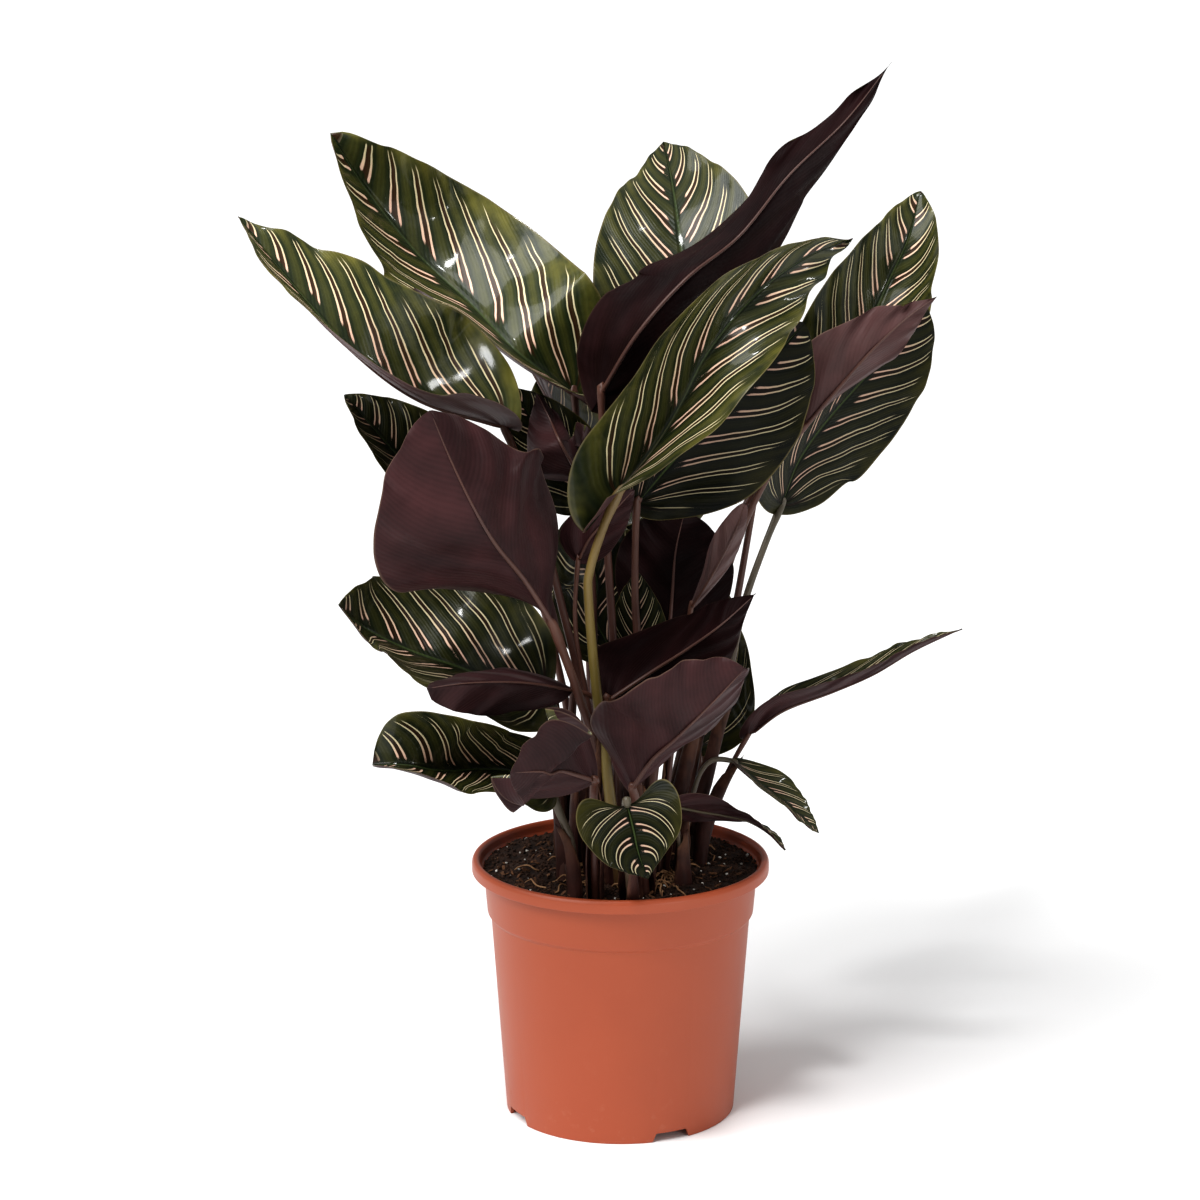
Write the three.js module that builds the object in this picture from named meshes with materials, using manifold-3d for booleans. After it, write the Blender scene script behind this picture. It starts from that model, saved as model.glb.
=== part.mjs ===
// Potted calathea: a plastic nursery pot, its compost and a clump of 36 striped leaves.
// Millimetres, +Z up. The origin is the middle of the pot's underside.
import * as THREE from 'three';
import { mergeVertices } from 'three/addons/utils/BufferGeometryUtils.js';
import Module from 'manifold-3d';

const wasm = await Module();
wasm.setup();

// ---- driving dimensions ----
const POT_HEIGHT = 150;
const POT_FOOT_RADIUS = 65.8;
const POT_BODY_RADIUS = 74.2; // just under the shoulder
const POT_NECK_RADIUS = 78.2; // just under the rim
const RIM_RADIUS = 85;
const RIM_DROP = 8; // how far the rim hangs down outside
const SHOULDER_HEIGHT = 117;
const WALL = 1.8;
const DRAIN_STEP = 5.5; // the ring floor stands this far above the table
const PAD_RADIUS = 42; // flat middle of the underside
const DRAIN_HOLES = 6;
const DRAIN_HOLE_RADIUS = 3.5;
const NOTCHES = 4;
const NOTCH_TURN = 26; // degrees from the front, towards +X
const SIDES = 40; // facets around the pot

const SOIL_TOP = 143.4; // at the edge, a little higher in the middle
const SOIL_CROWN = 2.6;
const GAP = 0.3; // between any two pieces that meet

const STALK_FOOT = 125; // stalks start inside the compost
const STALK_LEAVES_SOIL = 146;
const STALK_RADIUS = [3.2, 1.7]; // at the compost, at the blade
const STALK_SIDES = 6;
const STALK_STEP = 34; // length of one straight piece of a stalk
const STALK_SHORT = 2.2; // a separate stalk ends this far before its blade

const BLADE_THICKNESS = 0.9;
const ROWS = 14; // facets along a blade
const ACROSS = [-1, -0.5, 0, 0.5, 1]; // margin, half, midrib, half, margin

const radians = THREE.MathUtils.degToRad;

// ---- the leaves ----
// rib: the midrib from the blade's base to its tip.
// stalk: where it leaves the compost (x, y), then points on the way to the rib.
// turn: roll of the blade about its rib, in degrees, at the base and the tip. At 0 the upper
//   side looks to the front (or up, where face is 'up').
// left, right: how far each half is folded up from flat at base, middle and tip, and its curl.
// wave: height of the ripples on each half. waves: how many. start: their phase, in radians.
// belly: where the blade is widest. taper: a larger value gives a longer point.
// lobe: how far the halves reach back past the base. notch: 1 parts them, as on a heart.
// whole: stalk and blade are one piece, as on the young and the rear leaves.
const USUAL = {
  face: 'front',
  belly: 0.36,
  taper: 0.85,
  lobe: 0.06,
  notch: 0,
  waves: 3,
  wave: [2.5, 2.5],
  start: [0, 2],
  whole: false,
};
const LEAVES = {
  top_left: {
    rib: [
      [-28, 65, 407], [-60, 50, 434], [-86, 79, 456], [-117, 99, 482], [-144, 95, 517], [-165, 80, 554],
    ],
    stalk: [[-10, 16], [-13, 38, 240], [-20, 51, 328]],
    width: 120, turn: [33, 10], left: [72, 44, 61, 19], right: [23, 1, 25, 11], wave: [2.4, 4.3],
    waves: 3.4, start: [0.6, 2.9], belly: 0.23, taper: 0.55,
  },
  far_left: {
    rib: [[-67, -20, 404], [-111, -29, 420], [-146, -42, 449], [-178, -37, 484], [-208, -27, 520]],
    stalk: [[-20, 2], [-20, -7, 232], [-34, -11, 303], [-51, -16, 367]],
    width: 106, turn: [54, 46], left: [61, 50, 30, 5], right: [26, 36, 7, 16], wave: [0.6, 2.9],
    waves: 2.8, start: [-0.5, 1.9], belly: 0.29, taper: 0.93,
  },
  top_centre: {
    rib: [[40, 84, 414], [37, 90, 445], [36, 101, 477], [33, 119, 503], [30, 145, 522], [26, 172, 539]],
    stalk: [[14, 20], [20, 40, 233], [34, 63, 333]],
    width: 107, turn: [-1, -8], left: [9, 10, 10, 9], right: [11, 3, 19, 9], wave: [1.2, 1], waves: 2.8,
    start: [0.2, 1.8], belly: 0.32, taper: 0.96,
  },
  tall_dark: {
    rib: [
      [-10, -22, 423], [9, -36, 457], [35, -30, 486], [65, -8, 507], [92, -4, 540], [123, 10, 568],
      [148, 12, 600],
    ],
    stalk: [[0, -4], [-3, -6, 251], [-8, -13, 341]],
    width: 122, turn: [141, 160], left: [48, 83, 60, 12], right: [6, 52, 25, 3], wave: [3.9, 6],
    waves: 2.7, start: [0.8, -1.5], taper: 1.26,
  },
  front_striped: {
    rib: [
      [0, -66, 378], [17, -69, 400], [31, -69, 423], [43, -71, 448], [58, -69, 469], [77, -59, 487],
      [99, -55, 502], [124, -46, 511],
    ],
    stalk: [[0, -42], [-13, -60, 258], [-18, -68, 317], [-17, -70, 334], [-10, -70, 357]],
    width: 85, turn: [-26, 19], left: [32, 33, 13, 29], right: [63, 26, -1, 26], wave: [2, 4.5],
    waves: 3.7, start: [-0.8, 4.5], belly: 0.29, taper: 0.93, lobe: 0.17,
  },
  mid_right_striped: {
    rib: [[10, -13, 360], [32, -11, 386], [55, -9, 410], [79, -7, 434], [101, -11, 460]],
    stalk: [[10, -14], [11, -8, 245], [8, -8, 304]],
    width: 106, turn: [26, 11], left: [19, 24, 21, 11], right: [-13, 1, 5, 3], wave: [2.4, 2.1],
    start: [0.1, 2.3], taper: 0.75,
  },
  right_top: {
    rib: [
      [124, 112, 389], [136, 123, 413], [148, 132, 438], [159, 138, 462], [170, 139, 487],
      [177, 147, 513],
    ],
    stalk: [[32, 12], [47, 45, 231], [54, 63, 288], [72, 80, 336], [99, 98, 369]],
    width: 87, turn: [-13, -19], left: [18, 40, 26, 12], right: [26, 26, 12, 19], wave: [1.9, 3.5],
    waves: 3.1, start: [0.3, 1.9], belly: 0.34, taper: 0.79,
  },
  right_purple: {
    rib: [[103, 7, 399], [119, 6, 418], [138, -2, 442], [157, -6, 461], [174, -4, 473]],
    stalk: [[22, -6], [47, 9, 241], [56, 17, 297], [71, 18, 343], [89, 13, 380]],
    width: 58, turn: [212, 171], left: [44, 27, 4, 25], right: [21, 18, 17, 16], wave: [2.1, 5.3],
    waves: 2.6, start: [0.8, 1.5], belly: 0.27, taper: 1.17,
  },
  right_low: {
    rib: [[94, 64, 344], [102, 62, 367], [116, 64, 388], [138, 68, 413], [163, 70, 439], [175, 68, 457]],
    stalk: [[40, 18], [54, 30, 207], [63, 34, 251], [71, 40, 288], [83, 52, 320]],
    width: 102, turn: [33, 20], left: [10, 29, 16, 20], right: [1, -7, 16, 3], wave: [0.6, 1.6],
    waves: 2.5, start: [0.3, 0.4], belly: 0.38,
  },
  front_purple: {
    rib: [
      [-38, -85, 308], [-52, -90, 332], [-67, -101, 354], [-79, -109, 377], [-91, -109, 403],
      [-101, -112, 429],
    ],
    stalk: [[-16, -24], [-15, -56, 226], [-23, -70, 262], [-32, -80, 291]],
    width: 139, turn: [191, 194], left: [67, 32, 56, 13], right: [88, 20, 16, 6], wave: [3, 3.7],
    waves: 3.1, start: [0, 2.6], belly: 0.32, taper: 0.73,
  },
  left_small: {
    rib: [[-101, -6, 359], [-113, -17, 374], [-125, -26, 390], [-138, -32, 407], [-151, -37, 424]],
    stalk: [[-32, -6], [-37, -2, 239], [-53, 3, 281], [-78, -1, 323]],
    width: 68, turn: [20, 18], left: [49, 54, 48, 11], right: [9, 14, 10, 10], wave: [2.1, 2.5],
    belly: 0.34, taper: 0.82,
  },
  left_mid: {
    rib: [
      [-46, -10, 250], [-69, -23, 259], [-92, -33, 270], [-119, -34, 280], [-143, -39, 294],
      [-155, -57, 311],
    ],
    stalk: [[-32, -22], [-36, -15, 203]],
    width: 112, turn: [23, 45], left: [51, 48, 56, 10], right: [12, -6, -2, 8], wave: [0.6, 1.7],
    waves: 2.9, start: [0, 1.8], taper: 0.69,
  },
  left_under: {
    rib: [[-27, -58, 263], [-44, -72, 270], [-60, -86, 275], [-83, -96, 277], [-105, -100, 275]],
    stalk: [[-27, -37], [-25, -42, 205], [-14, -49, 251]],
    width: 42, turn: [180, 180], left: [84, 86, 84, 8], right: [-4, 6, 2, 14], wave: [0.8, 1.6],
    waves: 2.4, start: [0.7, 1.7], belly: 0.55, taper: 0.42, lobe: 0,
  },
  low_left: {
    rib: [
      [-41, -52, 205], [-59, -58, 216], [-76, -62, 219], [-98, -72, 221], [-118, -82, 227],
      [-136, -82, 227],
    ],
    stalk: [[-26, -52], [-28, -50, 173], [-34, -50, 190]],
    width: 98, turn: [12, 37], left: [59, 56, 59, 21], right: [29, 52, 8, 30], wave: [1.9, 1.2],
    start: [-0.6, 2.1], belly: 0.53, taper: 0.55,
  },
  low_purple: {
    rib: [[-16, -103, 225], [-32, -114, 233], [-38, -126, 235], [-43, -136, 239], [-59, -142, 240]],
    stalk: [[-14, -58], [-15, -76, 208]],
    width: 68, turn: [182, 164], left: [31, 20, -11, 10], right: [29, 19, 1, 10], wave: [2.4, 0.7],
    waves: 2.9, start: [0.3, 1.9], belly: 0.46, taper: 0.59,
  },
  centre_purple: {
    rib: [
      [7, -73, 213], [17, -81, 230], [29, -90, 244], [41, -100, 259], [53, -108, 274], [66, -113, 290],
    ],
    stalk: [[13, -52], [9, -64, 195]],
    width: 90, turn: [178, 192], left: [65, 55, 60, 10], right: [30, -18, 26, 9], wave: [2, 2.3],
    waves: 3.2, start: [0, 2.6], belly: 0.38, taper: 0.59,
  },
  centre_dark: {
    rib: [[-6, -56, 257], [16, -55, 272], [35, -64, 287], [54, -71, 303], [73, -69, 320]],
    stalk: [[2, -28], [9, -44, 212]],
    width: 83, turn: [160, 171], left: [44, 47, 46, 11], right: [15, 54, 9, 13], wave: [1.1, 1],
    belly: 0.22, taper: 1.05,
  },
  grey_fold: {
    rib: [[40, -13, 300], [47, -24, 314], [56, -27, 331], [64, -21, 346], [69, -6, 357]],
    stalk: [[22, -22], [32, -8, 245]],
    width: 28, turn: [173, 183], left: [59, 54, 38, 13], right: [68, 52, 36, 14], wave: [0.7, 1],
    belly: 0.6, taper: 0.7,
  },
  dark_mass: {
    rib: [[27, 8, 275], [29, 9, 299], [31, 13, 325], [36, 18, 347]],
    stalk: [[14, -38], [20, -18, 212], [31, 1, 249]],
    width: 68, turn: [180, 180], left: [-8, -8, -8, 8], right: [8, 8, 8, 8], belly: 0.55, taper: 0.5,
  },
  back_right: {
    rib: [[46, 60, 199], [53, 64, 224], [55, 68, 250], [53, 78, 273], [49, 96, 292]],
    stalk: [[30, 28], [44, 42, 178]],
    width: 64, turn: [-5, -20], left: [15, 15, 15, 15], right: [7, 30, 25, 16], wave: [2.5, 3],
    taper: 0.71,
  },
  centre_striped: {
    rib: [[-4, 20, 264], [-14, 21, 284], [-14, 23, 308], [-21, 16, 327], [-26, 20, 346]],
    stalk: [[-2, 8], [-3, 14, 230]],
    width: 60, turn: [8, 30], left: [8, 10, 8, 9], right: [6, 1, 9, 4], wave: [0.1, 5.7],
    start: [-0.1, 2.8], belly: 0.6, taper: 0.67,
  },
  arch: {
    rib: [[-22, 4, 369], [-27, -11, 380], [-34, -16, 394], [-39, 0, 402], [-47, 8, 417]],
    stalk: [[-12, 4], [-15, 2, 247], [-16, 3, 308]],
    width: 56, turn: [189, 207], left: [16, 46, 32, 18], right: [20, 23, 17, 15], wave: [2.6, 2.4],
    start: [0.3, 2], belly: 0.34, taper: 0.99,
  },
  neck_purple: {
    rib: [[-23, -39, 333], [-17, -41, 345], [-6, -43, 358], [7, -45, 373]],
    stalk: [[-4, -36], [-15, -38, 232], [-25, -37, 290]],
    width: 34, turn: [180, 176], left: [20, 24, 20, 12], right: [10, 14, 20, 10], wave: [1, 1],
    belly: 0.24, taper: 0.9, whole: true,
  },
  inner_left: {
    rib: [[-18, 26, 351], [-30, 24, 371], [-46, 24, 394], [-62, 30, 416]],
    stalk: [[-32, 14], [-27, 19, 240], [-22, 25, 320]],
    width: 54, turn: [-6, 8], left: [14, 16, 14, 10], right: [10, 12, 10, 10], wave: [1.5, 1.5],
    whole: true,
  },
  inner_low: {
    rib: [[13, 2, 256], [10, 0, 278], [9, 0, 298], [9, 0, 317]],
    stalk: [[14, 4], [13, 3, 205], [11, 2, 236]],
    width: 35, turn: [10, 10], left: [0, 0, 0, 8], right: [0, 0, 0, 8], wave: [1, 1], whole: true,
  },
  long_right: {
    rib: [[75, 15, 219], [92, 1, 236], [120, 11, 244], [143, 1, 257], [165, -8, 273], [192, -5, 285]],
    stalk: [[46, 4], [52, 16, 172], [63, 16, 198]],
    width: 29, turn: [-98, -83], left: [29, 32, 30, 9], right: [53, 35, 49, 7], wave: [0.8, 0.1],
    taper: 0.92, whole: true,
  },
  small_right: {
    rib: [[66, 6, 203], [77, -2, 195], [89, -10, 188], [101, -12, 178], [113, -11, 167]],
    stalk: [[34, -14], [42, 2, 188], [51, 6, 204]],
    width: 28, turn: [-65, -50], left: [1, 21, 13, 14], right: [31, 29, 32, 15], wave: [0.4, 1],
    start: [0.1, 2.4], whole: true,
  },
  droop_right: {
    rib: [[31, -26, 187], [45, -18, 182], [58, -12, 178], [72, -14, 175], [84, -16, 168], [93, -20, 159]],
    stalk: [[36, -34], [33, -31, 168]],
    width: 24, turn: [-160, -64], left: [4, -16, 20, 10], right: [18, 13, 14, 13], wave: [0.3, 0.1],
    belly: 0.3, whole: true,
  },
  heart: {
    rib: [[3, -119, 215], [6, -124, 204], [9, -128, 191], [14, -130, 177]],
    stalk: [[6, -68], [3, -96, 187]],
    width: 58, turn: [0, 4], left: [4, 6, 8, 8], right: [4, 6, 8, 8], wave: [0.5, 0.7], belly: 0.3,
    taper: 1.15, lobe: 0.6, notch: 1, whole: true,
  },
  back_up: {
    rib: [[-6, 90, 327], [-12, 120, 357], [-18, 155, 387], [-24, 190, 411]],
    stalk: [[-4, 36], [-5, 58, 227]],
    width: 100, turn: [0, 0], left: [15, 15, 12, 10], right: [12, 12, 15, 10], face: 'up', whole: true,
  },
  back_low: {
    rib: [[18, 75, 222], [20, 120, 250], [22, 170, 262], [20, 220, 256]],
    stalk: [[10, 46], [20, 60, 188]],
    width: 96, turn: [0, 0], left: [12, 12, 12, 10], right: [15, 15, 12, 10], face: 'up', whole: true,
  },
  back_left_up: {
    rib: [[-26, 84, 369], [-44, 119, 398], [-65, 154, 426], [-89, 179, 453]],
    stalk: [[-14, 28], [-18, 57, 258]],
    width: 84, turn: [40, 40], left: [15, 15, 12, 10], right: [12, 12, 15, 10], face: 'up', whole: true,
  },
  back_right_up: {
    rib: [[83, 136, 343], [102, 166, 381], [123, 192, 413], [143, 217, 443]],
    stalk: [[36, 42], [64, 104, 246]],
    width: 80, turn: [-30, -30], left: [12, 12, 12, 10], right: [15, 15, 12, 10], face: 'up',
    whole: true,
  },
  back_left_low: {
    rib: [[-46, 60, 286], [-65, 100, 306], [-87, 140, 319], [-109, 172, 322]],
    stalk: [[-22, 30], [-30, 44, 220]],
    width: 76, turn: [20, 20], left: [15, 15, 12, 10], right: [12, 12, 15, 10], face: 'up', whole: true,
  },
  back_right_low: {
    rib: [[40, 86, 206], [47, 120, 212], [52, 154, 210], [54, 182, 198]],
    stalk: [[24, 48], [33, 64, 182]],
    width: 50, turn: [-60, -60], left: [15, 15, 12, 10], right: [12, 12, 15, 10], face: 'up',
    whole: true,
  },
  back_mid: {
    rib: [[14, 92, 308], [20, 130, 340], [32, 172, 358], [40, 214, 364]],
    stalk: [[6, 28], [8, 56, 230]],
    width: 88, turn: [0, 0], left: [12, 12, 12, 10], right: [15, 15, 12, 10], face: 'up', whole: true,
  },
};

// ---- helpers ----
function asSolid(geometry) {
  const plain = geometry.clone();
  plain.deleteAttribute('normal');
  plain.deleteAttribute('uv');
  const welded = mergeVertices(plain, 1e-4);
  return new wasm.Manifold(new wasm.Mesh({
    numProp: 3,
    vertProperties: Float32Array.from(welded.attributes.position.array),
    triVerts: Uint32Array.from(welded.index.array),
  }));
}

function asGeometry(solid) {
  const mesh = solid.getMesh();
  const geometry = new THREE.BufferGeometry();
  geometry.setAttribute('position', new THREE.BufferAttribute(mesh.vertProperties, 3));
  geometry.setIndex(new THREE.BufferAttribute(mesh.triVerts, 1));
  return geometry;
}

function fromTriangles(points, triangles) {
  const geometry = new THREE.BufferGeometry();
  const flat = points.flatMap((p) => [p.x, p.y, p.z]);
  geometry.setAttribute('position', new THREE.Float32BufferAttribute(flat, 3));
  geometry.setIndex(triangles.flat());
  return geometry;
}

// A closed solid of revolution about Z, from [radius, height] points on the axis at both ends.
function turned(profile) {
  const outline = profile.map(([radius, height]) => new THREE.Vector2(radius, height));
  return new THREE.LatheGeometry(outline, SIDES).rotateX(Math.PI / 2);
}

const ribCurve = (points) =>
  new THREE.CatmullRomCurve3(points.map((p) => new THREE.Vector3(...p)), false, 'catmullrom', 0.5);

// ---- the pot ----
function potSolid() {
  const neckFoot = SHOULDER_HEIGHT + 1.2;
  const lip = POT_HEIGHT - RIM_DROP;
  const profile = [
    [0, 0],
    [PAD_RADIUS, 0],
    [PAD_RADIUS + 2, DRAIN_STEP],
    [POT_FOOT_RADIUS - 2, DRAIN_STEP],
    [POT_FOOT_RADIUS - 2, 0],
    [POT_FOOT_RADIUS, 0],
    [POT_BODY_RADIUS, SHOULDER_HEIGHT - 0.8],
    [POT_BODY_RADIUS + 2, neckFoot],
    [POT_NECK_RADIUS, lip - 1.2],
    [RIM_RADIUS - 3.6, lip + 1.4],
    [RIM_RADIUS - 3, lip + 5.6],
    [RIM_RADIUS - 1.7, lip + 5],
    [RIM_RADIUS - 1.5, lip],
    [RIM_RADIUS, lip + 0.3],
    [RIM_RADIUS, POT_HEIGHT - 2.4],
    [RIM_RADIUS - 0.9, POT_HEIGHT - 0.6],
    [RIM_RADIUS - 2.3, POT_HEIGHT],
    [RIM_RADIUS - 3.7, POT_HEIGHT - 0.5],
    [RIM_RADIUS - 4.6, POT_HEIGHT - 2],
    [RIM_RADIUS - 5.4, lip + 2.2],
    [POT_NECK_RADIUS - WALL, lip - 0.8],
    [POT_BODY_RADIUS + 2 - WALL, neckFoot + 0.8],
    [POT_BODY_RADIUS - WALL, SHOULDER_HEIGHT - 1.6],
    [POT_FOOT_RADIUS - WALL + 0.4, DRAIN_STEP + WALL],
    [PAD_RADIUS + 0.8, DRAIN_STEP + WALL],
    [PAD_RADIUS - 1.2, WALL],
    [0, WALL],
  ];
  let solid = asSolid(turned(profile));
  for (let i = 0; i < NOTCHES; i += 1) {
    const turn = radians(NOTCH_TURN - 90 + (i * 360) / NOTCHES);
    const shape = new THREE.Shape([
      new THREE.Vector2(-12, -1),
      new THREE.Vector2(12, -1),
      new THREE.Vector2(9.5, DRAIN_STEP - 0.2),
      new THREE.Vector2(-9.5, DRAIN_STEP - 0.2),
    ]);
    const notch = new THREE.ExtrudeGeometry(shape, { depth: 14, bevelEnabled: false });
    notch.rotateX(Math.PI / 2).translate(0, POT_FOOT_RADIUS + 6, 0).rotateZ(turn - Math.PI / 2);
    solid = solid.subtract(asSolid(notch));
  }
  for (let i = 0; i < DRAIN_HOLES; i += 1) {
    const turn = radians((i * 360) / DRAIN_HOLES);
    const hole = new THREE.CylinderGeometry(DRAIN_HOLE_RADIUS, DRAIN_HOLE_RADIUS, 8, 10);
    hole.rotateX(Math.PI / 2).translate(54 * Math.cos(turn), 54 * Math.sin(turn), DRAIN_STEP);
    solid = solid.subtract(asSolid(hole));
  }
  return solid;
}

function soilSolid() {
  const atTop = POT_BODY_RADIUS + 2 - WALL - GAP;
  const lip = POT_HEIGHT - RIM_DROP;
  const profile = [
    [0, WALL + GAP],
    [PAD_RADIUS - 1.5, WALL + GAP],
    [PAD_RADIUS + 0.5, DRAIN_STEP + WALL + GAP],
    [POT_FOOT_RADIUS - WALL, DRAIN_STEP + WALL + GAP],
    [POT_BODY_RADIUS - WALL - GAP, SHOULDER_HEIGHT - 1.6],
    [atTop, SHOULDER_HEIGHT + 2.4],
    [POT_NECK_RADIUS - WALL - 2 * GAP, lip - 0.8],
    [RIM_RADIUS - 6.8, SOIL_TOP],
    [58, SOIL_TOP + 1],
    [30, SOIL_TOP + SOIL_CROWN],
    [0, SOIL_TOP + SOIL_CROWN],
  ];
  return asSolid(turned(profile));
}

// ---- a leaf ----
// Half width, 0 to 1, at x along the blade.
function outline(x, belly, taper) {
  if (x < belly) {
    return Math.sqrt(1 - ((belly - x) / belly) ** 2);
  }
  return Math.cos((Math.PI / 2) * ((x - belly) / (1 - belly))) ** taper;
}

// Through three values at the base, the middle and the tip.
function blend(values, s) {
  const [base, middle, tip] = values.length === 2
    ? [values[0], (values[0] + values[1]) / 2, values[1]] : values;
  return base * (1 - s) * (1 - 2 * s) + middle * 4 * s * (1 - s) + tip * s * (2 * s - 1);
}

// The point at x (0 base, 1 tip) and r (-1 left margin, 0 midrib, 1 right margin).
function bladePoint(leaf, curve, x, r) {
  const a = Math.abs(r);
  const half = (leaf.width / 2) * outline(0.015 + 0.985 * x, leaf.belly, leaf.taper);
  const open = 1 - leaf.notch * (1 - x) ** 12;
  const s = x - leaf.lobe * (1 - x) ** 3 * a ** 3 * open;
  const along = THREE.MathUtils.clamp(s, 0, 1);
  const forward = curve.getTangentAt(along);
  const point = curve.getPointAt(along).addScaledVector(forward, (s - along) * curve.getLength());
  const face = leaf.face === 'up' ? new THREE.Vector3(0, 0, 1) : new THREE.Vector3(0, -1, 0);
  face.addScaledVector(forward, -face.dot(forward)).normalize();
  const turn = radians(blend(leaf.turn, along));
  const normal = face.clone().multiplyScalar(Math.cos(turn));
  normal.addScaledVector(new THREE.Vector3().crossVectors(forward, face), Math.sin(turn));
  const side = new THREE.Vector3().crossVectors(forward, normal);

  const fold = r < 0 ? leaf.left : leaf.right;
  const lift = radians(blend(fold.slice(0, 3), along));
  const curl = radians(fold[3]);
  const out = (half * (Math.sin(lift + curl * a) - Math.sin(lift))) / curl;
  let up = (half * (Math.cos(lift) - Math.cos(lift + curl * a))) / curl;
  const vein = x ** (1 + 1.9 * (0.55 * a + 0.45 * a * a));
  const ripple = Math.sin(2 * Math.PI * leaf.waves * vein + leaf.start[r < 0 ? 0 : 1]);
  up += leaf.wave[r < 0 ? 0 : 1] * a * a * Math.sin(Math.PI * vein) ** 0.7 * ripple;
  return point.addScaledVector(side, Math.sign(r) * out).addScaledVector(normal, up);
}

function bladeGeometry(leaf) {
  const curve = ribCurve(leaf.rib);
  const middle = [];
  for (let i = 0; i < ROWS; i += 1) {
    middle.push(ACROSS.map((r) => bladePoint(leaf, curve, i / ROWS, r)));
  }
  const tip = bladePoint(leaf, curve, 1, 0);
  const columns = ACROSS.length;

  // The normal at each grid point, from its neighbours along and across.
  const normalAt = (i, j) => {
    const ahead = i + 1 < ROWS ? middle[i + 1][j] : tip;
    const behind = middle[Math.max(i - 1, 0)][j];
    const right = middle[i][Math.min(j + 1, columns - 1)];
    const left = middle[i][Math.max(j - 1, 0)];
    const along = new THREE.Vector3().subVectors(ahead, behind);
    return new THREE.Vector3().subVectors(right, left).cross(along).normalize();
  };
  const points = [];
  for (const offset of [BLADE_THICKNESS / 2, -BLADE_THICKNESS / 2]) {
    for (let i = 0; i < ROWS; i += 1) {
      for (let j = 0; j < columns; j += 1) {
        points.push(middle[i][j].clone().addScaledVector(normalAt(i, j), offset));
      }
    }
    points.push(tip.clone().addScaledVector(normalAt(ROWS - 1, (columns - 1) / 2), offset));
  }
  const layer = ROWS * columns + 1;
  const at = (i, j) => i * columns + j;
  const triangles = [];
  for (let i = 0; i + 1 < ROWS; i += 1) {
    for (let j = 0; j + 1 < columns; j += 1) {
      triangles.push([at(i, j), at(i, j + 1), at(i + 1, j + 1)]);
      triangles.push([at(i, j), at(i + 1, j + 1), at(i + 1, j)]);
    }
  }
  for (let j = 0; j + 1 < columns; j += 1) {
    triangles.push([at(ROWS - 1, j), at(ROWS - 1, j + 1), layer - 1]);
  }
  const under = triangles.map(([a, b, c]) => [a + layer, c + layer, b + layer]);

  // The edge runs round the base, up the right margin to the tip and down the left one.
  const edge = [];
  for (let j = 0; j < columns; j += 1) {
    edge.push(at(0, j));
  }
  for (let i = 1; i < ROWS; i += 1) {
    edge.push(at(i, columns - 1));
  }
  edge.push(layer - 1);
  for (let i = ROWS - 1; i > 0; i -= 1) {
    edge.push(at(i, 0));
  }
  const rim = edge.flatMap((a, k) => {
    const b = edge[(k + 1) % edge.length];
    return [[a, a + layer, b + layer], [a, b + layer, b]];
  });
  return fromTriangles(points, [...triangles, ...under, ...rim]);
}

// A tapering stalk along a curve, closed at both ends.
function stalkGeometry(leaf, grow = 0) {
  const [root, ...way] = leaf.stalk;
  const base = new THREE.Vector3(...leaf.rib[0]);
  const forward = ribCurve(leaf.rib).getTangentAt(0);
  const end = base.addScaledVector(forward, leaf.whole ? 2 : -STALK_SHORT);
  const curve = ribCurve([
    [...root, STALK_FOOT],
    [...root, STALK_LEAVES_SOIL],
    ...way,
    end.toArray(),
  ]);
  const steps = Math.max(4, Math.round(curve.getLength() / STALK_STEP));
  const points = [];
  let side = new THREE.Vector3(1, 0, 0);
  for (let i = 0; i <= steps; i += 1) {
    const t = i / steps;
    const spot = curve.getPointAt(t);
    const along = curve.getTangentAt(t);
    if (i === 0) {
      spot.addScaledVector(along, -grow);
    }
    side = side.clone().addScaledVector(along, -side.dot(along)).normalize();
    const across = new THREE.Vector3().crossVectors(along, side);
    const radius = THREE.MathUtils.lerp(...STALK_RADIUS, t) + grow;
    for (let k = 0; k < STALK_SIDES; k += 1) {
      const turn = (2 * Math.PI * k) / STALK_SIDES;
      const rim = spot.clone().addScaledVector(side, radius * Math.cos(turn));
      points.push(rim.addScaledVector(across, radius * Math.sin(turn)));
    }
  }
  const triangles = [];
  const at = (i, k) => i * STALK_SIDES + (k % STALK_SIDES);
  for (let i = 0; i < steps; i += 1) {
    for (let k = 0; k < STALK_SIDES; k += 1) {
      triangles.push([at(i, k), at(i, k + 1), at(i + 1, k + 1)]);
      triangles.push([at(i, k), at(i + 1, k + 1), at(i + 1, k)]);
    }
  }
  for (let k = 1; k + 1 < STALK_SIDES; k += 1) {
    triangles.push([at(0, 0), at(0, k + 1), at(0, k)]);
    triangles.push([at(steps, 0), at(steps, k), at(steps, k + 1)]);
  }
  return fromTriangles(points, triangles);
}

// ---- assembly ----
const plant = new THREE.Group();
plant.name = 'potted_calathea';

function add(name, geometry, colour, roughness) {
  geometry.computeVertexNormals();
  const material = new THREE.MeshStandardMaterial({ color: colour, roughness });
  const mesh = new THREE.Mesh(geometry, material);
  mesh.name = name;
  plant.add(mesh);
}

add('pot', asGeometry(potSolid()), 0xc45c3e, 0.45);

let soil = soilSolid();
for (const given of Object.values(LEAVES)) {
  soil = soil.subtract(asSolid(stalkGeometry({ ...USUAL, ...given }, GAP)));
}
add('soil', asGeometry(soil), 0x2b201a, 0.95);

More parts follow.
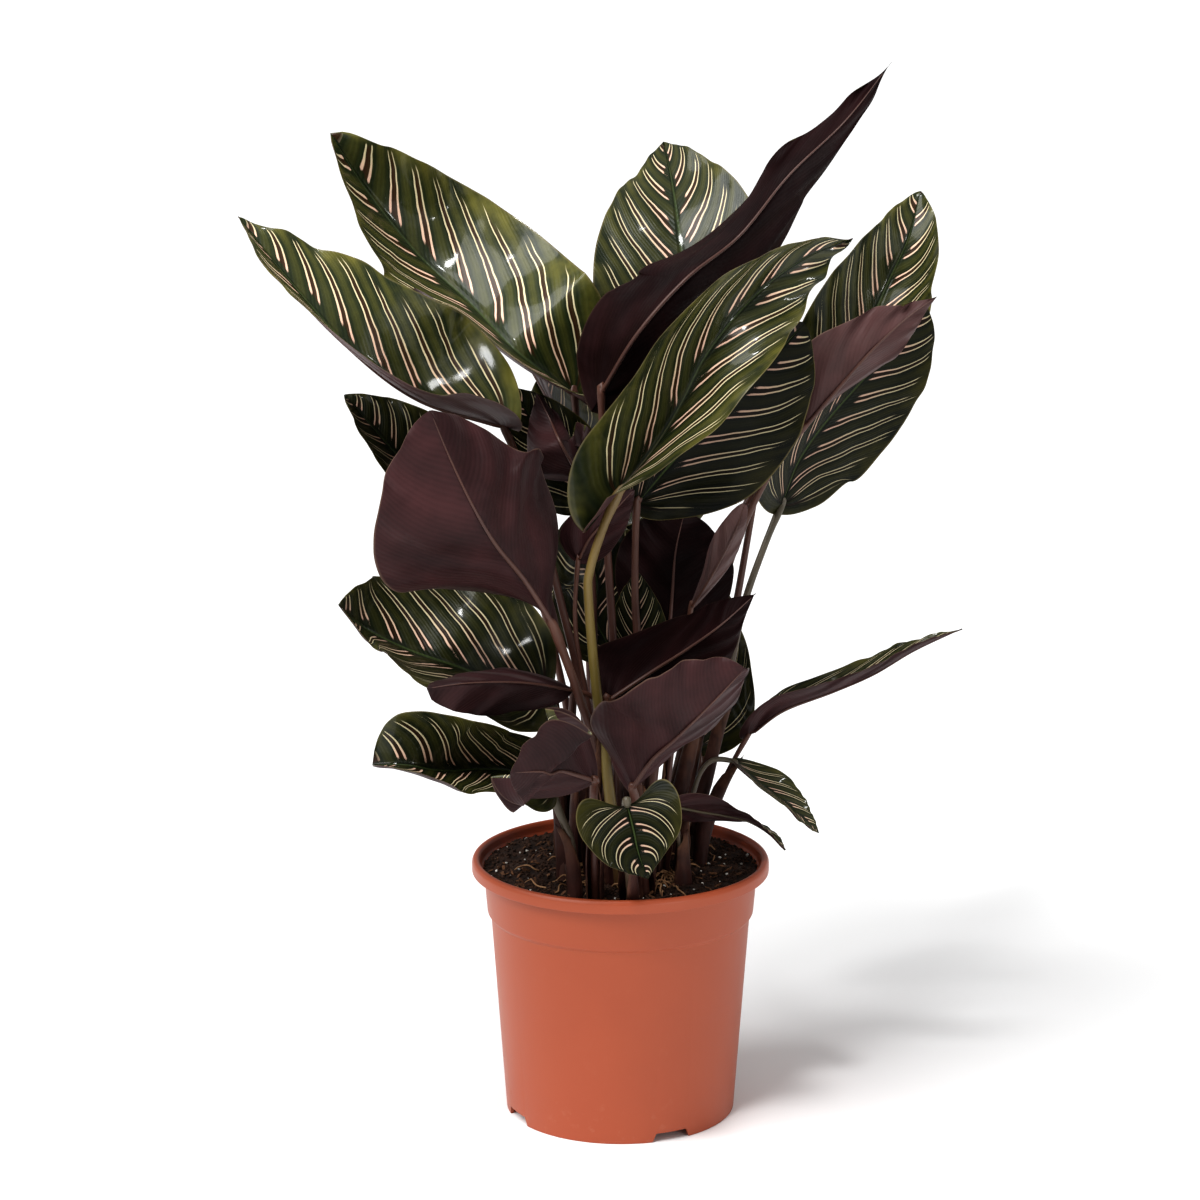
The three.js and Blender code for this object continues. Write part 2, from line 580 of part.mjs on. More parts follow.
for (const [name, given] of Object.entries(LEAVES)) {
  const leaf = { ...USUAL, ...given };
  const blade = bladeGeometry(leaf);
  const stalk = stalkGeometry(leaf);
  if (leaf.whole) {
    add(`${name}_leaf`, asGeometry(asSolid(blade).add(asSolid(stalk))), 0x3f5a33, 0.4);
  } else {
    add(`${name}_blade`, blade, 0x3f5a33, 0.4);
    add(`${name}_stalk`, stalk, 0x6b4a38, 0.5);
  }
}

export default plant;
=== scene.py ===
# %% [markdown]
# # A potted calathea
# This lesson builds a striped house plant in a plastic nursery pot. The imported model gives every
# piece its place and size; here each piece gets its fine shape and its finish. All lengths in
# the tables are millimetres, and `MM` turns them into Blender's metres.

import math
import random

import bpy
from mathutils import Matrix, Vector, noise


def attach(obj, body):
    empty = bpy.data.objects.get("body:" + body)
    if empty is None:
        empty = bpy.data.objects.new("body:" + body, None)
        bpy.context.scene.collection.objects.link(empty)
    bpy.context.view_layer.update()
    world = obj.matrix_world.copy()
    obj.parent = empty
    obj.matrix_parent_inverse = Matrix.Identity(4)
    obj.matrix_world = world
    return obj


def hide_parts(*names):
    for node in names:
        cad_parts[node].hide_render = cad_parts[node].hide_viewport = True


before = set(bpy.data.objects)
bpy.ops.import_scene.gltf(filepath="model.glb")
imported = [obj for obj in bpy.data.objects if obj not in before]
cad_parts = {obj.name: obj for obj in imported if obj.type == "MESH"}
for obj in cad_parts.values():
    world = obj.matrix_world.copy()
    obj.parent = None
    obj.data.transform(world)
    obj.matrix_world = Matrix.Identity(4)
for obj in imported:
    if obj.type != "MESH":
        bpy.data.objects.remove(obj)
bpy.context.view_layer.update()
MM = 0.001

# %% [markdown]
# ## Camera first
# The plant was seen from two metres away, a little above its middle, through a long lens. A long
# lens keeps the pot's sides nearly parallel. The camera is aimed by an angle and not at a target,
# so that the pot's axis stays slightly right of the middle, as it was seen.

# %% Camera
def add_object(name, data):
    made = bpy.data.objects.new(name, data)
    bpy.context.scene.collection.objects.link(made)
    return made


view_camera = bpy.data.cameras.new("front_camera")
view_camera.sensor_width = 36.0
view_camera.lens = 109.5
view_camera.clip_end = 100.0
DEGREES_DOWN = 13.3
camera = add_object("front_camera", view_camera)
camera.location = (-0.0117, -2.0, 0.773)
camera.rotation_euler = (math.radians(90 - DEGREES_DOWN), 0.0, 0.0)
bpy.context.scene.camera = camera
print("camera at", tuple(camera.location))

# %% [markdown]
# ## Helpers for node trees
# Leaves and finishes follow formulas, and a formula is easier to read than a web of nodes. `Wire`
# wraps an output socket, so that `a * 2 + b` adds the math nodes by itself. It works the same in
# a Geometry Nodes tree and in a material.


# %% A socket that can be calculated with
class Wire:
    def __init__(self, tree, socket):
        self.tree = tree
        self.socket = socket

    def node(self, kind, operation, values, output=0):
        made = self.tree.nodes.new(kind)
        made.operation = operation
        for place, value in zip(made.inputs, values):
            plug(self.tree, place, value)
        return Wire(self.tree, made.outputs[output])

    def math(self, operation, *others):
        return self.node("ShaderNodeMath", operation, (self, *others))

    def vector(self, operation, *others):
        output = 1 if operation in ("DOT_PRODUCT", "LENGTH") else 0
        return self.node("ShaderNodeVectorMath", operation, (self, *others), output)

    def is_vector(self):
        return self.socket.type in ("VECTOR", "RGBA")

    def __add__(self, other):
        return self.vector("ADD", other) if self.is_vector() else self.math("ADD", other)

    def __sub__(self, other):
        return self.vector("SUBTRACT", other) if self.is_vector() else self.math("SUBTRACT", other)

    def __mul__(self, other):
        return self.scaled(other) if self.is_vector() else self.math("MULTIPLY", other)

    def __truediv__(self, other):
        return self.math("DIVIDE", other)

    def __pow__(self, other):
        return self.math("POWER", other)

    def __neg__(self):
        return self * -1.0

    def __radd__(self, other):
        return self + other

    def __rsub__(self, other):
        return -self + other

    def scaled(self, factor):
        made = self.tree.nodes.new("ShaderNodeVectorMath")
        made.operation = "SCALE"
        plug(self.tree, made.inputs[0], self)
        plug(self.tree, made.inputs["Scale"], factor)
        return Wire(self.tree, made.outputs[0])

    def sin(self):
        return self.math("SINE")

    def cos(self):
        return self.math("COSINE")

    def clamp(self, low=0.0, high=1.0):
        return self.math("MAXIMUM", low).math("MINIMUM", high)

    def smooth(self, low, high):
        made = self.tree.nodes.new("ShaderNodeMapRange")
        made.interpolation_type = "SMOOTHSTEP"
        for place, value in zip(made.inputs[:5], (self, low, high, 0.0, 1.0)):
            plug(self.tree, place, value)
        return Wire(self.tree, made.outputs[0])

    def either(self, if_less, limit, otherwise):
        """if_less where this value is under the limit, otherwise the other one."""
        under = self.math("LESS_THAN", limit)
        return under * if_less + (1.0 - under) * otherwise


def plug(tree, place, value):
    if isinstance(value, Wire):
        tree.links.new(value.socket, place)
    else:
        place.default_value = value


def node_in(tree, kind, settings=(), **values):
    """A node with its settings and inputs; returns the node."""
    made = tree.nodes.new(kind)
    for name, value in dict(settings).items():
        setattr(made, name, value)
    for name, value in values.items():
        plug(tree, made.inputs[name.replace("_", " ")], value)
    return made


def out(tree, node, output=0):
    return Wire(tree, node.outputs[output])


# %% Objects, curves and Geometry Nodes in a few calls
def object_from(name, points, edges=(), faces=()):
    mesh = bpy.data.meshes.new(name)
    mesh.from_pydata([tuple(p) for p in points], list(edges), list(faces))
    mesh.update()
    return add_object(name, mesh)


def through(points, count):
    """Evenly spaced points, in metres, on a smooth curve through the given ones; and its length."""
    knots = [Vector(p) * MM for p in points]
    knots = [knots[0] * 2 - knots[1], *knots, knots[-1] * 2 - knots[-2]]
    fine = []
    for a, b, c, d in zip(knots, knots[1:], knots[2:], knots[3:]):
        for i in range(40):
            t = i / 40
            into = (c - a) * 0.5
            onward = (d - b) * 0.5
            fine.append(
                b * (2 * t**3 - 3 * t**2 + 1)
                + into * (t**3 - 2 * t**2 + t)
                + c * (3 * t**2 - 2 * t**3)
                + onward * (t**3 - t**2)
            )
    fine.append(knots[-2])
    run = [0.0]
    for a, b in zip(fine, fine[1:]):
        run.append(run[-1] + (b - a).length)
    spots = []
    k = 0
    for i in range(count):
        goal = run[-1] * i / (count - 1)
        while k + 2 < len(run) and run[k + 1] < goal:
            k += 1
        share = (goal - run[k]) / max(run[k + 1] - run[k], 1e-9)
        spots.append(fine[k].lerp(fine[k + 1], min(max(share, 0.0), 1.0)))
    return spots, run[-1]


def path_object(name, points):
    return object_from(name, points, edges=[(i, i + 1) for i in range(len(points) - 1)])


def new_tree(name, **labels):
    """A Geometry Nodes tree with inputs listed by their kind; returns it and its inputs as wires."""
    tree = bpy.data.node_groups.new(name, "GeometryNodeTree")
    tree.interface.new_socket("Geometry", in_out="INPUT", socket_type="NodeSocketGeometry")
    for kind, listed in labels.items():
        for label in listed.split(", "):
            tree.interface.new_socket(label, in_out="INPUT", socket_type="NodeSocket" + kind)
    tree.interface.new_socket("Geometry", in_out="OUTPUT", socket_type="NodeSocketGeometry")
    entry = tree.nodes.new("NodeGroupInput")
    return tree, {socket.name: Wire(tree, socket) for socket in entry.outputs if socket.name}


def coated(tree, shape, finish_input):
    """Makes instances real and gives the whole shape one finish."""
    real = out(tree, node_in(tree, "GeometryNodeRealizeInstances", Geometry=out(tree, shape)))
    return out(tree, node_in(tree, "GeometryNodeSetMaterial", Geometry=real, Material=finish_input))


def end_tree(tree, geometry):
    exit_node = tree.nodes.new("NodeGroupOutput")
    plug(tree, exit_node.inputs[0], geometry)


def grow(piece, tree, values):
    """Runs the tree on the piece and keeps the result as a plain mesh."""
    modifier = piece.modifiers.new(tree.name, "NODES")
    modifier.node_group = tree
    labels = {s.name: s.identifier for s in tree.interface.items_tree if s.in_out == "INPUT"}
    for label, value in values.items():
        modifier[labels[label]] = value
    bpy.context.view_layer.update()
    shaped = piece.evaluated_get(bpy.context.evaluated_depsgraph_get())
    mesh = bpy.data.meshes.new_from_object(shaped)
    mesh.name = piece.name
    piece.modifiers.clear()
    piece.data = mesh


def finish_piece(piece, slot, *nodes):
    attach(piece, "root")
    if nodes:
        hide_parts(*nodes)


# A test: the length of a straight path of 10 mm, in metres.
print("test path:", through([(0, 0, 0), (10, 0, 0)], 3)[1])

# %% [markdown]
# ## Studio
# A plant like this is seen against white, with a soft shadow to the right of the pot. One broad
# lamp high on the left makes that shadow. Two small square lamps, one above and one low on the
# right, put crisp white streaks on the waxy leaves. The floor is one pale sheet that runs out of
# view.

# %% Floor, lamps and sky
def lamp(name, kind, place, aim, strength, **settings):
    light = bpy.data.lights.new(name, kind)
    light.energy = strength
    for label, value in settings.items():
        setattr(light, label, value)
    made = add_object(name, light)
    made.location = place
    made.rotation_euler = (Vector(aim) - Vector(place)).to_track_quat("-Z", "Y").to_euler()


middle = (0.0, 0.0, 0.3)
lamp("key", "SUN", (-1.4, -1.0, 2.2), middle, 2.7, angle=math.radians(45))
lamp("top_window", "AREA", (-0.22, -0.8, 1.95), (0.0, 0.0, 0.4), 11.0, size=0.2)
lamp("right_window", "AREA", (1.15, -1.45, 0.45), (0.0, 0.0, 0.35), 5.0, size=0.18)

FLOOR_HALF = 30
floor_corners = [(x * FLOOR_HALF, y * FLOOR_HALF, 0) for x, y in ((-1, -1), (1, -1), (1, 1), (-1, 1))]
floor = object_from("floor", floor_corners, faces=[(0, 1, 2, 3)])
paint = bpy.data.materials.new("pale_floor")
paint.use_nodes = True
paint.node_tree.nodes["Principled BSDF"].inputs["Base Color"].default_value = (0.94, 0.94, 0.94, 1)
paint.node_tree.nodes["Principled BSDF"].inputs["Roughness"].default_value = 0.9
floor.data.materials.append(paint)

sky = bpy.data.worlds.new("studio")
bpy.context.scene.world = sky
sky.use_nodes = True
sky.node_tree.nodes["Background"].inputs["Color"].default_value = (1.0, 1.0, 1.0, 1.0)
sky.node_tree.nodes["Background"].inputs["Strength"].default_value = 0.42
bpy.context.scene.view_settings.view_transform = "Standard"
bpy.context.scene.view_settings.look = "Medium High Contrast"
print("lamps:", len(bpy.data.lights))

# %% [markdown]
# ## Materials from formulas
# Each finish starts from one Principled shader. `finish` makes it and hands back its tree; the
# cells below add colour, roughness and bump. Values that are the same all over the surface, such
# as the wax coat, are set on the shader itself.


# %% A finish to fill in
def finish(name, **sockets):
    made = bpy.data.materials.new(name)
    made.use_nodes = True
    shader = made.node_tree.nodes["Principled BSDF"]
    for label, value in sockets.items():
        shader.inputs[label.replace("_", " ")].default_value = value
    return made, made.node_tree, shader


def rgb(red, green, blue):
    """A colour from 0 to 255 screen values."""
    steps = [c / 255 for c in (red, green, blue)]
    return (*[c / 12.92 if c < 0.04045 else ((c + 0.055) / 1.055) ** 2.4 for c in steps], 1.0)


def place_of(tree, scale=(1, 1, 1)):
    """Object coordinates, in metres, stretched by scale."""
    spot = out(tree, node_in(tree, "ShaderNodeTexCoord"), "Object")
    return spot.vector("MULTIPLY", scale)


def grain(tree, scale, detail=3.0, stretch=(1, 1, 1)):
    """Noise from 0 to 1 on the piece."""
    made = node_in(tree, "ShaderNodeTexNoise", Vector=place_of(tree, stretch), Scale=scale)
    made.inputs["Detail"].default_value = detail
    made.inputs["Roughness"].default_value = 0.55
    return out(tree, made, "Fac")


def blended(tree, share, first, second):
    made = tree.nodes.new("ShaderNodeMix")
    made.data_type = "RGBA"
    plug(tree, made.inputs[0], share)
    plug(tree, made.inputs[6], first)
    plug(tree, made.inputs[7], second)
    return Wire(tree, made.outputs[2])


def surface(tree, shader, colour, roughness, height, metres):
    """Sets colour and roughness, and a bump where height from 0 to 1 stands metres proud."""
    plug(tree, shader.inputs["Base Color"], colour)
    plug(tree, shader.inputs["Roughness"], roughness)
    bump = node_in(tree, "ShaderNodeBump", Height=height, Distance=metres, Strength=1.0)
    plug(tree, shader.inputs["Normal"], out(tree, bump))


print("middle grey as a shader value:", rgb(128, 128, 128)[0])

# %% [markdown]
# ## The pot
# A nursery pot is moulded from thin plastic: a tapering body, a shoulder, a straight neck and a
# rolled rim. It is a shape turned about one axis, so one outline says it all. The outline's
# corners are rounded first, because real moulded edges catch a line of light. Notches in the
# foot ring and holes in the floor let water out, and are cut afterwards.

# %% Pot outline
POT_HEIGHT = 150.0
RIM_RADIUS = 85.0
FOOT_RADIUS = 65.8
BODY_RADIUS = 74.2
NECK_RADIUS = 78.2
SHOULDER = 117.0
LIP = 142.0
DRAIN_STEP = 5.5
PAD_RADIUS = 42.0
WALL = 1.8
pot_outline = [
    (0, 0),
    (PAD_RADIUS, 0),
    (PAD_RADIUS + 2, DRAIN_STEP),
    (FOOT_RADIUS - 2, DRAIN_STEP),
    (FOOT_RADIUS - 2, 0),
    (FOOT_RADIUS, 0),
    (BODY_RADIUS, SHOULDER - 0.8),
    (BODY_RADIUS + 2, SHOULDER + 1.2),
    (NECK_RADIUS, LIP - 1.2),
    (RIM_RADIUS - 3.6, LIP + 1.4),
    (RIM_RADIUS - 3, LIP + 5.6),
    (RIM_RADIUS - 1.7, LIP + 5),
    (RIM_RADIUS - 1.5, LIP),
    (RIM_RADIUS, LIP + 0.3),
    (RIM_RADIUS, POT_HEIGHT - 2.4),
    (RIM_RADIUS - 0.9, POT_HEIGHT - 0.6),
    (RIM_RADIUS - 2.3, POT_HEIGHT),
    (RIM_RADIUS - 3.7, POT_HEIGHT - 0.5),
    (RIM_RADIUS - 4.6, POT_HEIGHT - 2),
    (RIM_RADIUS - 5.4, LIP + 2.2),
    (NECK_RADIUS - WALL, LIP - 0.8),
    (BODY_RADIUS + 2 - WALL, SHOULDER + 2),
    (BODY_RADIUS - WALL, SHOULDER - 1.6),
    (FOOT_RADIUS - WALL + 0.4, DRAIN_STEP + WALL),
    (PAD_RADIUS + 0.8, DRAIN_STEP + WALL),
    (PAD_RADIUS - 1.2, WALL),
    (0, WALL),
]


def rounded(outline, radius, steps=3):
    """Replaces each inner corner by a short arc, no longer than a third of its sides."""
    points = [Vector(p) for p in outline]
    smooth = [points[0]]
    for before, corner, after in zip(points, points[1:], points[2:]):
        reach = min(radius, (corner - before).length / 3, (after - corner).length / 3)
        start = corner + (before - corner).normalized() * reach
        end = corner + (after - corner).normalized() * reach
        for i in range(steps + 1):
            t = i / steps
            smooth.append(start * (1 - t) ** 2 + corner * 2 * t * (1 - t) + end * t**2)
    smooth.append(points[-1])
    return smooth


def turned(name, outline, sides):
    """A closed solid from (radius, height) points that start and end on the axis, in millimetres."""
    rings = outline[1:-1]
    points = [(0, 0, outline[0][1] * MM), (0, 0, outline[-1][1] * MM)]
    for radius, height in rings:
        for k in range(sides):
            turn = 2 * math.pi * k / sides
            points.append((radius * MM * math.cos(turn), radius * MM * math.sin(turn), height * MM))
    faces = []
    for i in range(len(rings) - 1):
        for k in range(sides):
            a = 2 + i * sides + k
            b = 2 + i * sides + (k + 1) % sides
            faces.append((a, b, b + sides, a + sides))
    last = 2 + (len(rings) - 1) * sides
    for k in range(sides):
        faces.append((0, 2 + (k + 1) % sides, 2 + k))
        faces.append((1, last + k, last + (k + 1) % sides))
    return object_from(name, points, faces=faces)


POT_SIDES = 160
pot = turned("nursery_pot", rounded(pot_outline, 0.9), POT_SIDES)
print("pot rings:", len(pot.data.vertices) // POT_SIDES)

# %% Cut the notches and drain holes
NOTCH_FROM = 58.0
NOTCH_TO = 72.0
NOTCH_HEIGHT = 5.3
FIRST_NOTCH_DEGREES = -64
DRAIN_CIRCLE = 54
DRAIN_RADIUS = 3.5


def wedge(turn):
    """A notch cutter through the foot ring, its middle at this angle."""
    across = Vector((-math.sin(turn), math.cos(turn), 0))
    away = Vector((math.cos(turn), math.sin(turn), 0))
    corners = []
    for radius in (NOTCH_FROM, NOTCH_TO):
        for half, height in ((12, -1), (-12, -1), (-9.5, NOTCH_HEIGHT), (9.5, NOTCH_HEIGHT)):
            corners.append((away * radius + across * half + Vector((0, 0, height))) * MM)
    return corners, [(0, 1, 2, 3), (7, 6, 5, 4), (0, 4, 5, 1), (1, 5, 6, 2), (2, 6, 7, 3), (3, 7, 4, 0)]


def drill(turn):
    """A round cutter through the floor between pad and foot ring."""
    centre = Vector((DRAIN_CIRCLE * math.cos(turn), DRAIN_CIRCLE * math.sin(turn), 0))
    sides = 24
    corners = []
    for height in (1.0, 12.0):
        for k in range(sides):
            angle = 2 * math.pi * k / sides
            edge = Vector((DRAIN_RADIUS * math.cos(angle), DRAIN_RADIUS * math.sin(angle), height))
            corners.append((centre + edge) * MM)
    faces = [tuple(reversed(range(sides))), tuple(range(sides, 2 * sides))]
    faces += [(k, (k + 1) % sides, (k + 1) % sides + sides, k + sides) for k in range(sides)]
    return corners, faces


notches = [wedge(math.radians(FIRST_NOTCH_DEGREES + 90 * i)) for i in range(4)]
holes = [drill(math.radians(60 * i)) for i in range(6)]
corners = []
faces = []
for cut_corners, cut_faces in notches + holes:
    faces += [tuple(v + len(corners) for v in face) for face in cut_faces]
    corners += cut_corners
cutter = object_from("cutter", corners, faces=faces)
cut = pot.modifiers.new("drain", "BOOLEAN")
cut.operation = "DIFFERENCE"
cut.solver = "EXACT"
cut.object = cutter
bpy.context.view_layer.update()
pot.data = bpy.data.meshes.new_from_object(pot.evaluated_get(bpy.context.evaluated_depsgraph_get()))
pot.modifiers.clear()
bpy.data.objects.remove(cutter)
pot.data.name = "nursery_pot"
pot.data.shade_smooth()
pot.data.set_sharp_from_angle(angle=math.radians(38))
finish_piece(pot, "pot", "pot")
print("pot faces:", len(pot.data.polygons))

# %% [markdown]
# ### Moulded plastic
# The plastic is a satin terracotta orange. What keeps it from looking painted is small: a very
# fine polish grain that runs round the pot, a little unevenness in the gloss, and faint scuffs
# and dust, most of them low on the body.

# %% Terracotta plastic
plastic, tree, shader = finish("terracotta_plastic", Specular_IOR_Level=0.45)
spot = node_in(tree, "ShaderNodeSeparateXYZ", Vector=place_of(tree))
height = out(tree, spot, 2)
cloud = grain(tree, 14.0, 4.0)
speck = grain(tree, 900.0, 2.0)
low = 1.0 - height.smooth(0.0, 0.035)
dust = (grain(tree, 160.0, 5.0).smooth(0.56, 0.78) * (low * 0.8 + 0.12)).clamp()
base = blended(tree, cloud, rgb(150, 68, 38), rgb(160, 76, 44))
base = blended(tree, dust * 0.5, base, rgb(168, 104, 80))
gloss = (0.36 + cloud * 0.12 + dust * 0.25).clamp(0.2, 0.9)
rings_round = grain(tree, 1.0, 2.0, (60, 60, 2600))
surface(tree, shader, base, gloss, speck * 0.5 + rings_round * 0.35 + cloud * 0.8, 0.00006)
pot.data.materials.clear()
pot.data.materials.append(plastic)
print(plastic.name, "on", pot.name)

# %% [markdown]
# ## Compost
# The compost fills the pot to about 6 mm below the rim. It is dark, damp and crumbly, so its top
# is a fine mesh raised and lowered by noise, and loose bits lie on it: dark crumbs, flakes of
# bark, pale fibres and white perlite. The bits repeat by the hundred, which is what Geometry
# Nodes scatter well: a few faces each, turned and scaled at random from a fixed seed.


# %% Compost with an uneven top
SOIL_LEVEL = 143.2
SOIL_CROWN = 1.8
SOIL_SIDES = 168
FLAT_TOP = 144
TOP_RINGS = 56


def compost_height(x, y):
    """Height of the compost's top, all in millimetres."""
    radius = math.hypot(x, y)
    level = SOIL_LEVEL + SOIL_CROWN * (1 - min(radius / 60, 1.0) ** 2)
    rough = noise.fractal(Vector((x, y, 0)) / 17, 0.9, 2.1, 5) * 2.4
    fine = noise.noise(Vector((x, y, 5)) / 2.6) * 0.9
    return level + (rough + fine) * min(1.0, (79 - radius) / 6)


# The side follows the pot's inner wall, with a small gap.
soil_side = [(0, 2.1), (40.5, 2.1), (42.5, 7.6), (64.0, 7.6), (72.1, 115.4), (74.1, 119.4), (75.8, 140.8)]
top_rings = [(78.0 - 78.0 * i / TOP_RINGS, FLAT_TOP) for i in range(TOP_RINGS + 1)]
compost = turned("compost", [*soil_side, *top_rings], SOIL_SIDES)
for vertex in compost.data.vertices:
    x, y, z = vertex.co / MM
    if z > FLAT_TOP - 2:
        vertex.co.z = compost_height(x, y) * MM
compost.data.shade_smooth()
finish_piece(compost, "soil", "soil")
print("compost faces:", len(compost.data.polygons))

# %% Finishes of the compost and its bits
def earthy(name, dark, light, scale, bump, rough=0.92):
    """A matt finish between two browns, with coarse and fine grain that also raises it."""
    made, tree, shader = finish(name, Specular_IOR_Level=0.3)
    patch = grain(tree, scale, 6.0)
    fine = grain(tree, scale * 7, 3.0)
    share = (patch * 0.7 + fine * 0.5).smooth(0.35, 0.85)
    surface(tree, shader, blended(tree, share, dark, light), rough, fine + patch * 0.6, bump)
    return made


damp_compost = earthy("damp_compost", rgb(20, 13, 10), rgb(68, 47, 36), 130.0, 0.0009)
crumb_finish = earthy("compost_crumb", rgb(26, 17, 13), rgb(78, 54, 41), 260.0, 0.0003)
bark_finish = earthy("bark_flake", rgb(54, 34, 24), rgb(132, 92, 62), 340.0, 0.0002, 0.8)
fibre_finish = earthy("dry_fibre", rgb(112, 78, 52), rgb(186, 146, 108), 240.0, 0.0001, 0.75)
perlite_finish = earthy("perlite", rgb(196, 190, 180), rgb(240, 238, 232), 420.0, 0.0003, 0.85)
compost.data.materials.append(damp_compost)

# %% A tree that scatters bits over the top of the compost
scatter, given = new_tree(
    "scatter_bits",
    Float="Per Square Metre, Smallest, Largest, Lift",
    Int="Seed",
    Vector="Shape",
    Material="Finish",
)
facing = out(scatter, node_in(scatter, "GeometryNodeInputNormal"))
upward = facing.vector("DOT_PRODUCT", (0, 0, 1)).math("GREATER_THAN", 0.3)
position = out(scatter, node_in(scatter, "GeometryNodeInputPosition"))
where = node_in(scatter, "ShaderNodeSeparateXYZ", Vector=position)
on_top = upward * out(scatter, where, 2).math("GREATER_THAN", 0.12)
spread = node_in(
    scatter,
    "GeometryNodeDistributePointsOnFaces",
    Mesh=given["Geometry"],
    Selection=on_top,
    Density=given["Per Square Metre"],
    Seed=given["Seed"],
)
bit = node_in(scatter, "GeometryNodeMeshIcoSphere", Radius=0.5, Subdivisions=1)
lumpy = node_in(scatter, "ShaderNodeTexNoise", Scale=1.6)
dent = (out(scatter, lumpy, "Color") - (0.5, 0.5, 0.5)) * 0.9
bit_shape = node_in(scatter, "GeometryNodeSetPosition", Geometry=out(scatter, bit), Offset=dent)
flattened = node_in(scatter, "GeometryNodeTransform", Geometry=out(scatter, bit_shape), Scale=given["Shape"])


def random_in(tree, kind, low, high, seed):
    made = tree.nodes.new("FunctionNodeRandomValue")
    made.data_type = kind
    first = {"FLOAT": 2, "FLOAT_VECTOR": 0}[kind]
    plug(tree, made.inputs[first], low)
    plug(tree, made.inputs[first + 1], high)
    made.inputs["Seed"].default_value = seed
    return Wire(tree, made.outputs[{"FLOAT": 1, "FLOAT_VECTOR": 0}[kind]])


laid = node_in(
    scatter,
    "GeometryNodeInstanceOnPoints",
    Points=out(scatter, spread),
    Instance=out(scatter, flattened),
    Rotation=random_in(scatter, "FLOAT_VECTOR", (-0.7, -0.7, 0.0), (0.7, 0.7, 6.28), 3),
    Scale=random_in(scatter, "FLOAT", given["Smallest"], given["Largest"], 5),
)
lifted = node_in(scatter, "GeometryNodeTranslateInstances", Instances=out(scatter, laid), Local_Space=False)
upwards = out(scatter, node_in(scatter, "ShaderNodeCombineXYZ", Z=given["Lift"]))
plug(scatter, lifted.inputs["Translation"], upwards)
end_tree(scatter, coated(scatter, lifted, given["Finish"]))
print("scatter nodes:", len(scatter.nodes))

# %% Lay the bits
# Bits per square metre, seed, smallest, largest, proportions, lift and finish.
bits = {
    "compost_crumbs": (115000, 11, 1.0, 3.2, (1, 0.8, 0.7), 0.3, crumb_finish),
    "bark_flakes": (13000, 12, 2.6, 7.5, (1, 0.36, 0.16), 0.7, bark_finish),
    "perlite_bits": (3400, 13, 0.9, 2.2, (1, 0.9, 0.8), 0.7, perlite_finish),
}
for name, (density, seed, smallest, largest, shape, lift, look) in bits.items():
    piece = add_object(name, compost.data.copy())
    grow(
        piece,
        scatter,
        {
            "Per Square Metre": float(density),
            "Seed": seed,
            "Smallest": smallest * MM,
            "Largest": largest * MM,
            "Shape": shape,
            "Lift": lift * MM,
            "Finish": look,
        },
    )
    finish_piece(piece, "soil")
    print(name, "faces:", len(piece.data.polygons))

# %% [markdown]
# ## The leaves
# Every leaf follows the same rule. A midrib runs from the blade's base to its tip. Two halves
# spread from it, each folded up by its own angle and curled a little, and ripples grow towards
# the margin. The table gives each leaf's midrib, stalk, width, turn about the midrib and folds,
# in millimetres and degrees. A turn of 180 shows the maroon underside to the front. A fold has
# its angle at the base, in the middle and at the tip, and then how far the half curls.
#
# Belly is where along the midrib the blade is widest, and taper how it narrows from there. Lobe
# draws the margin back past the base, and notch opens it like a heart. Wave is the height of the
# ripples on either half, waves their number, and start how far along each half's first ripple
# is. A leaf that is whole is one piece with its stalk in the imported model.

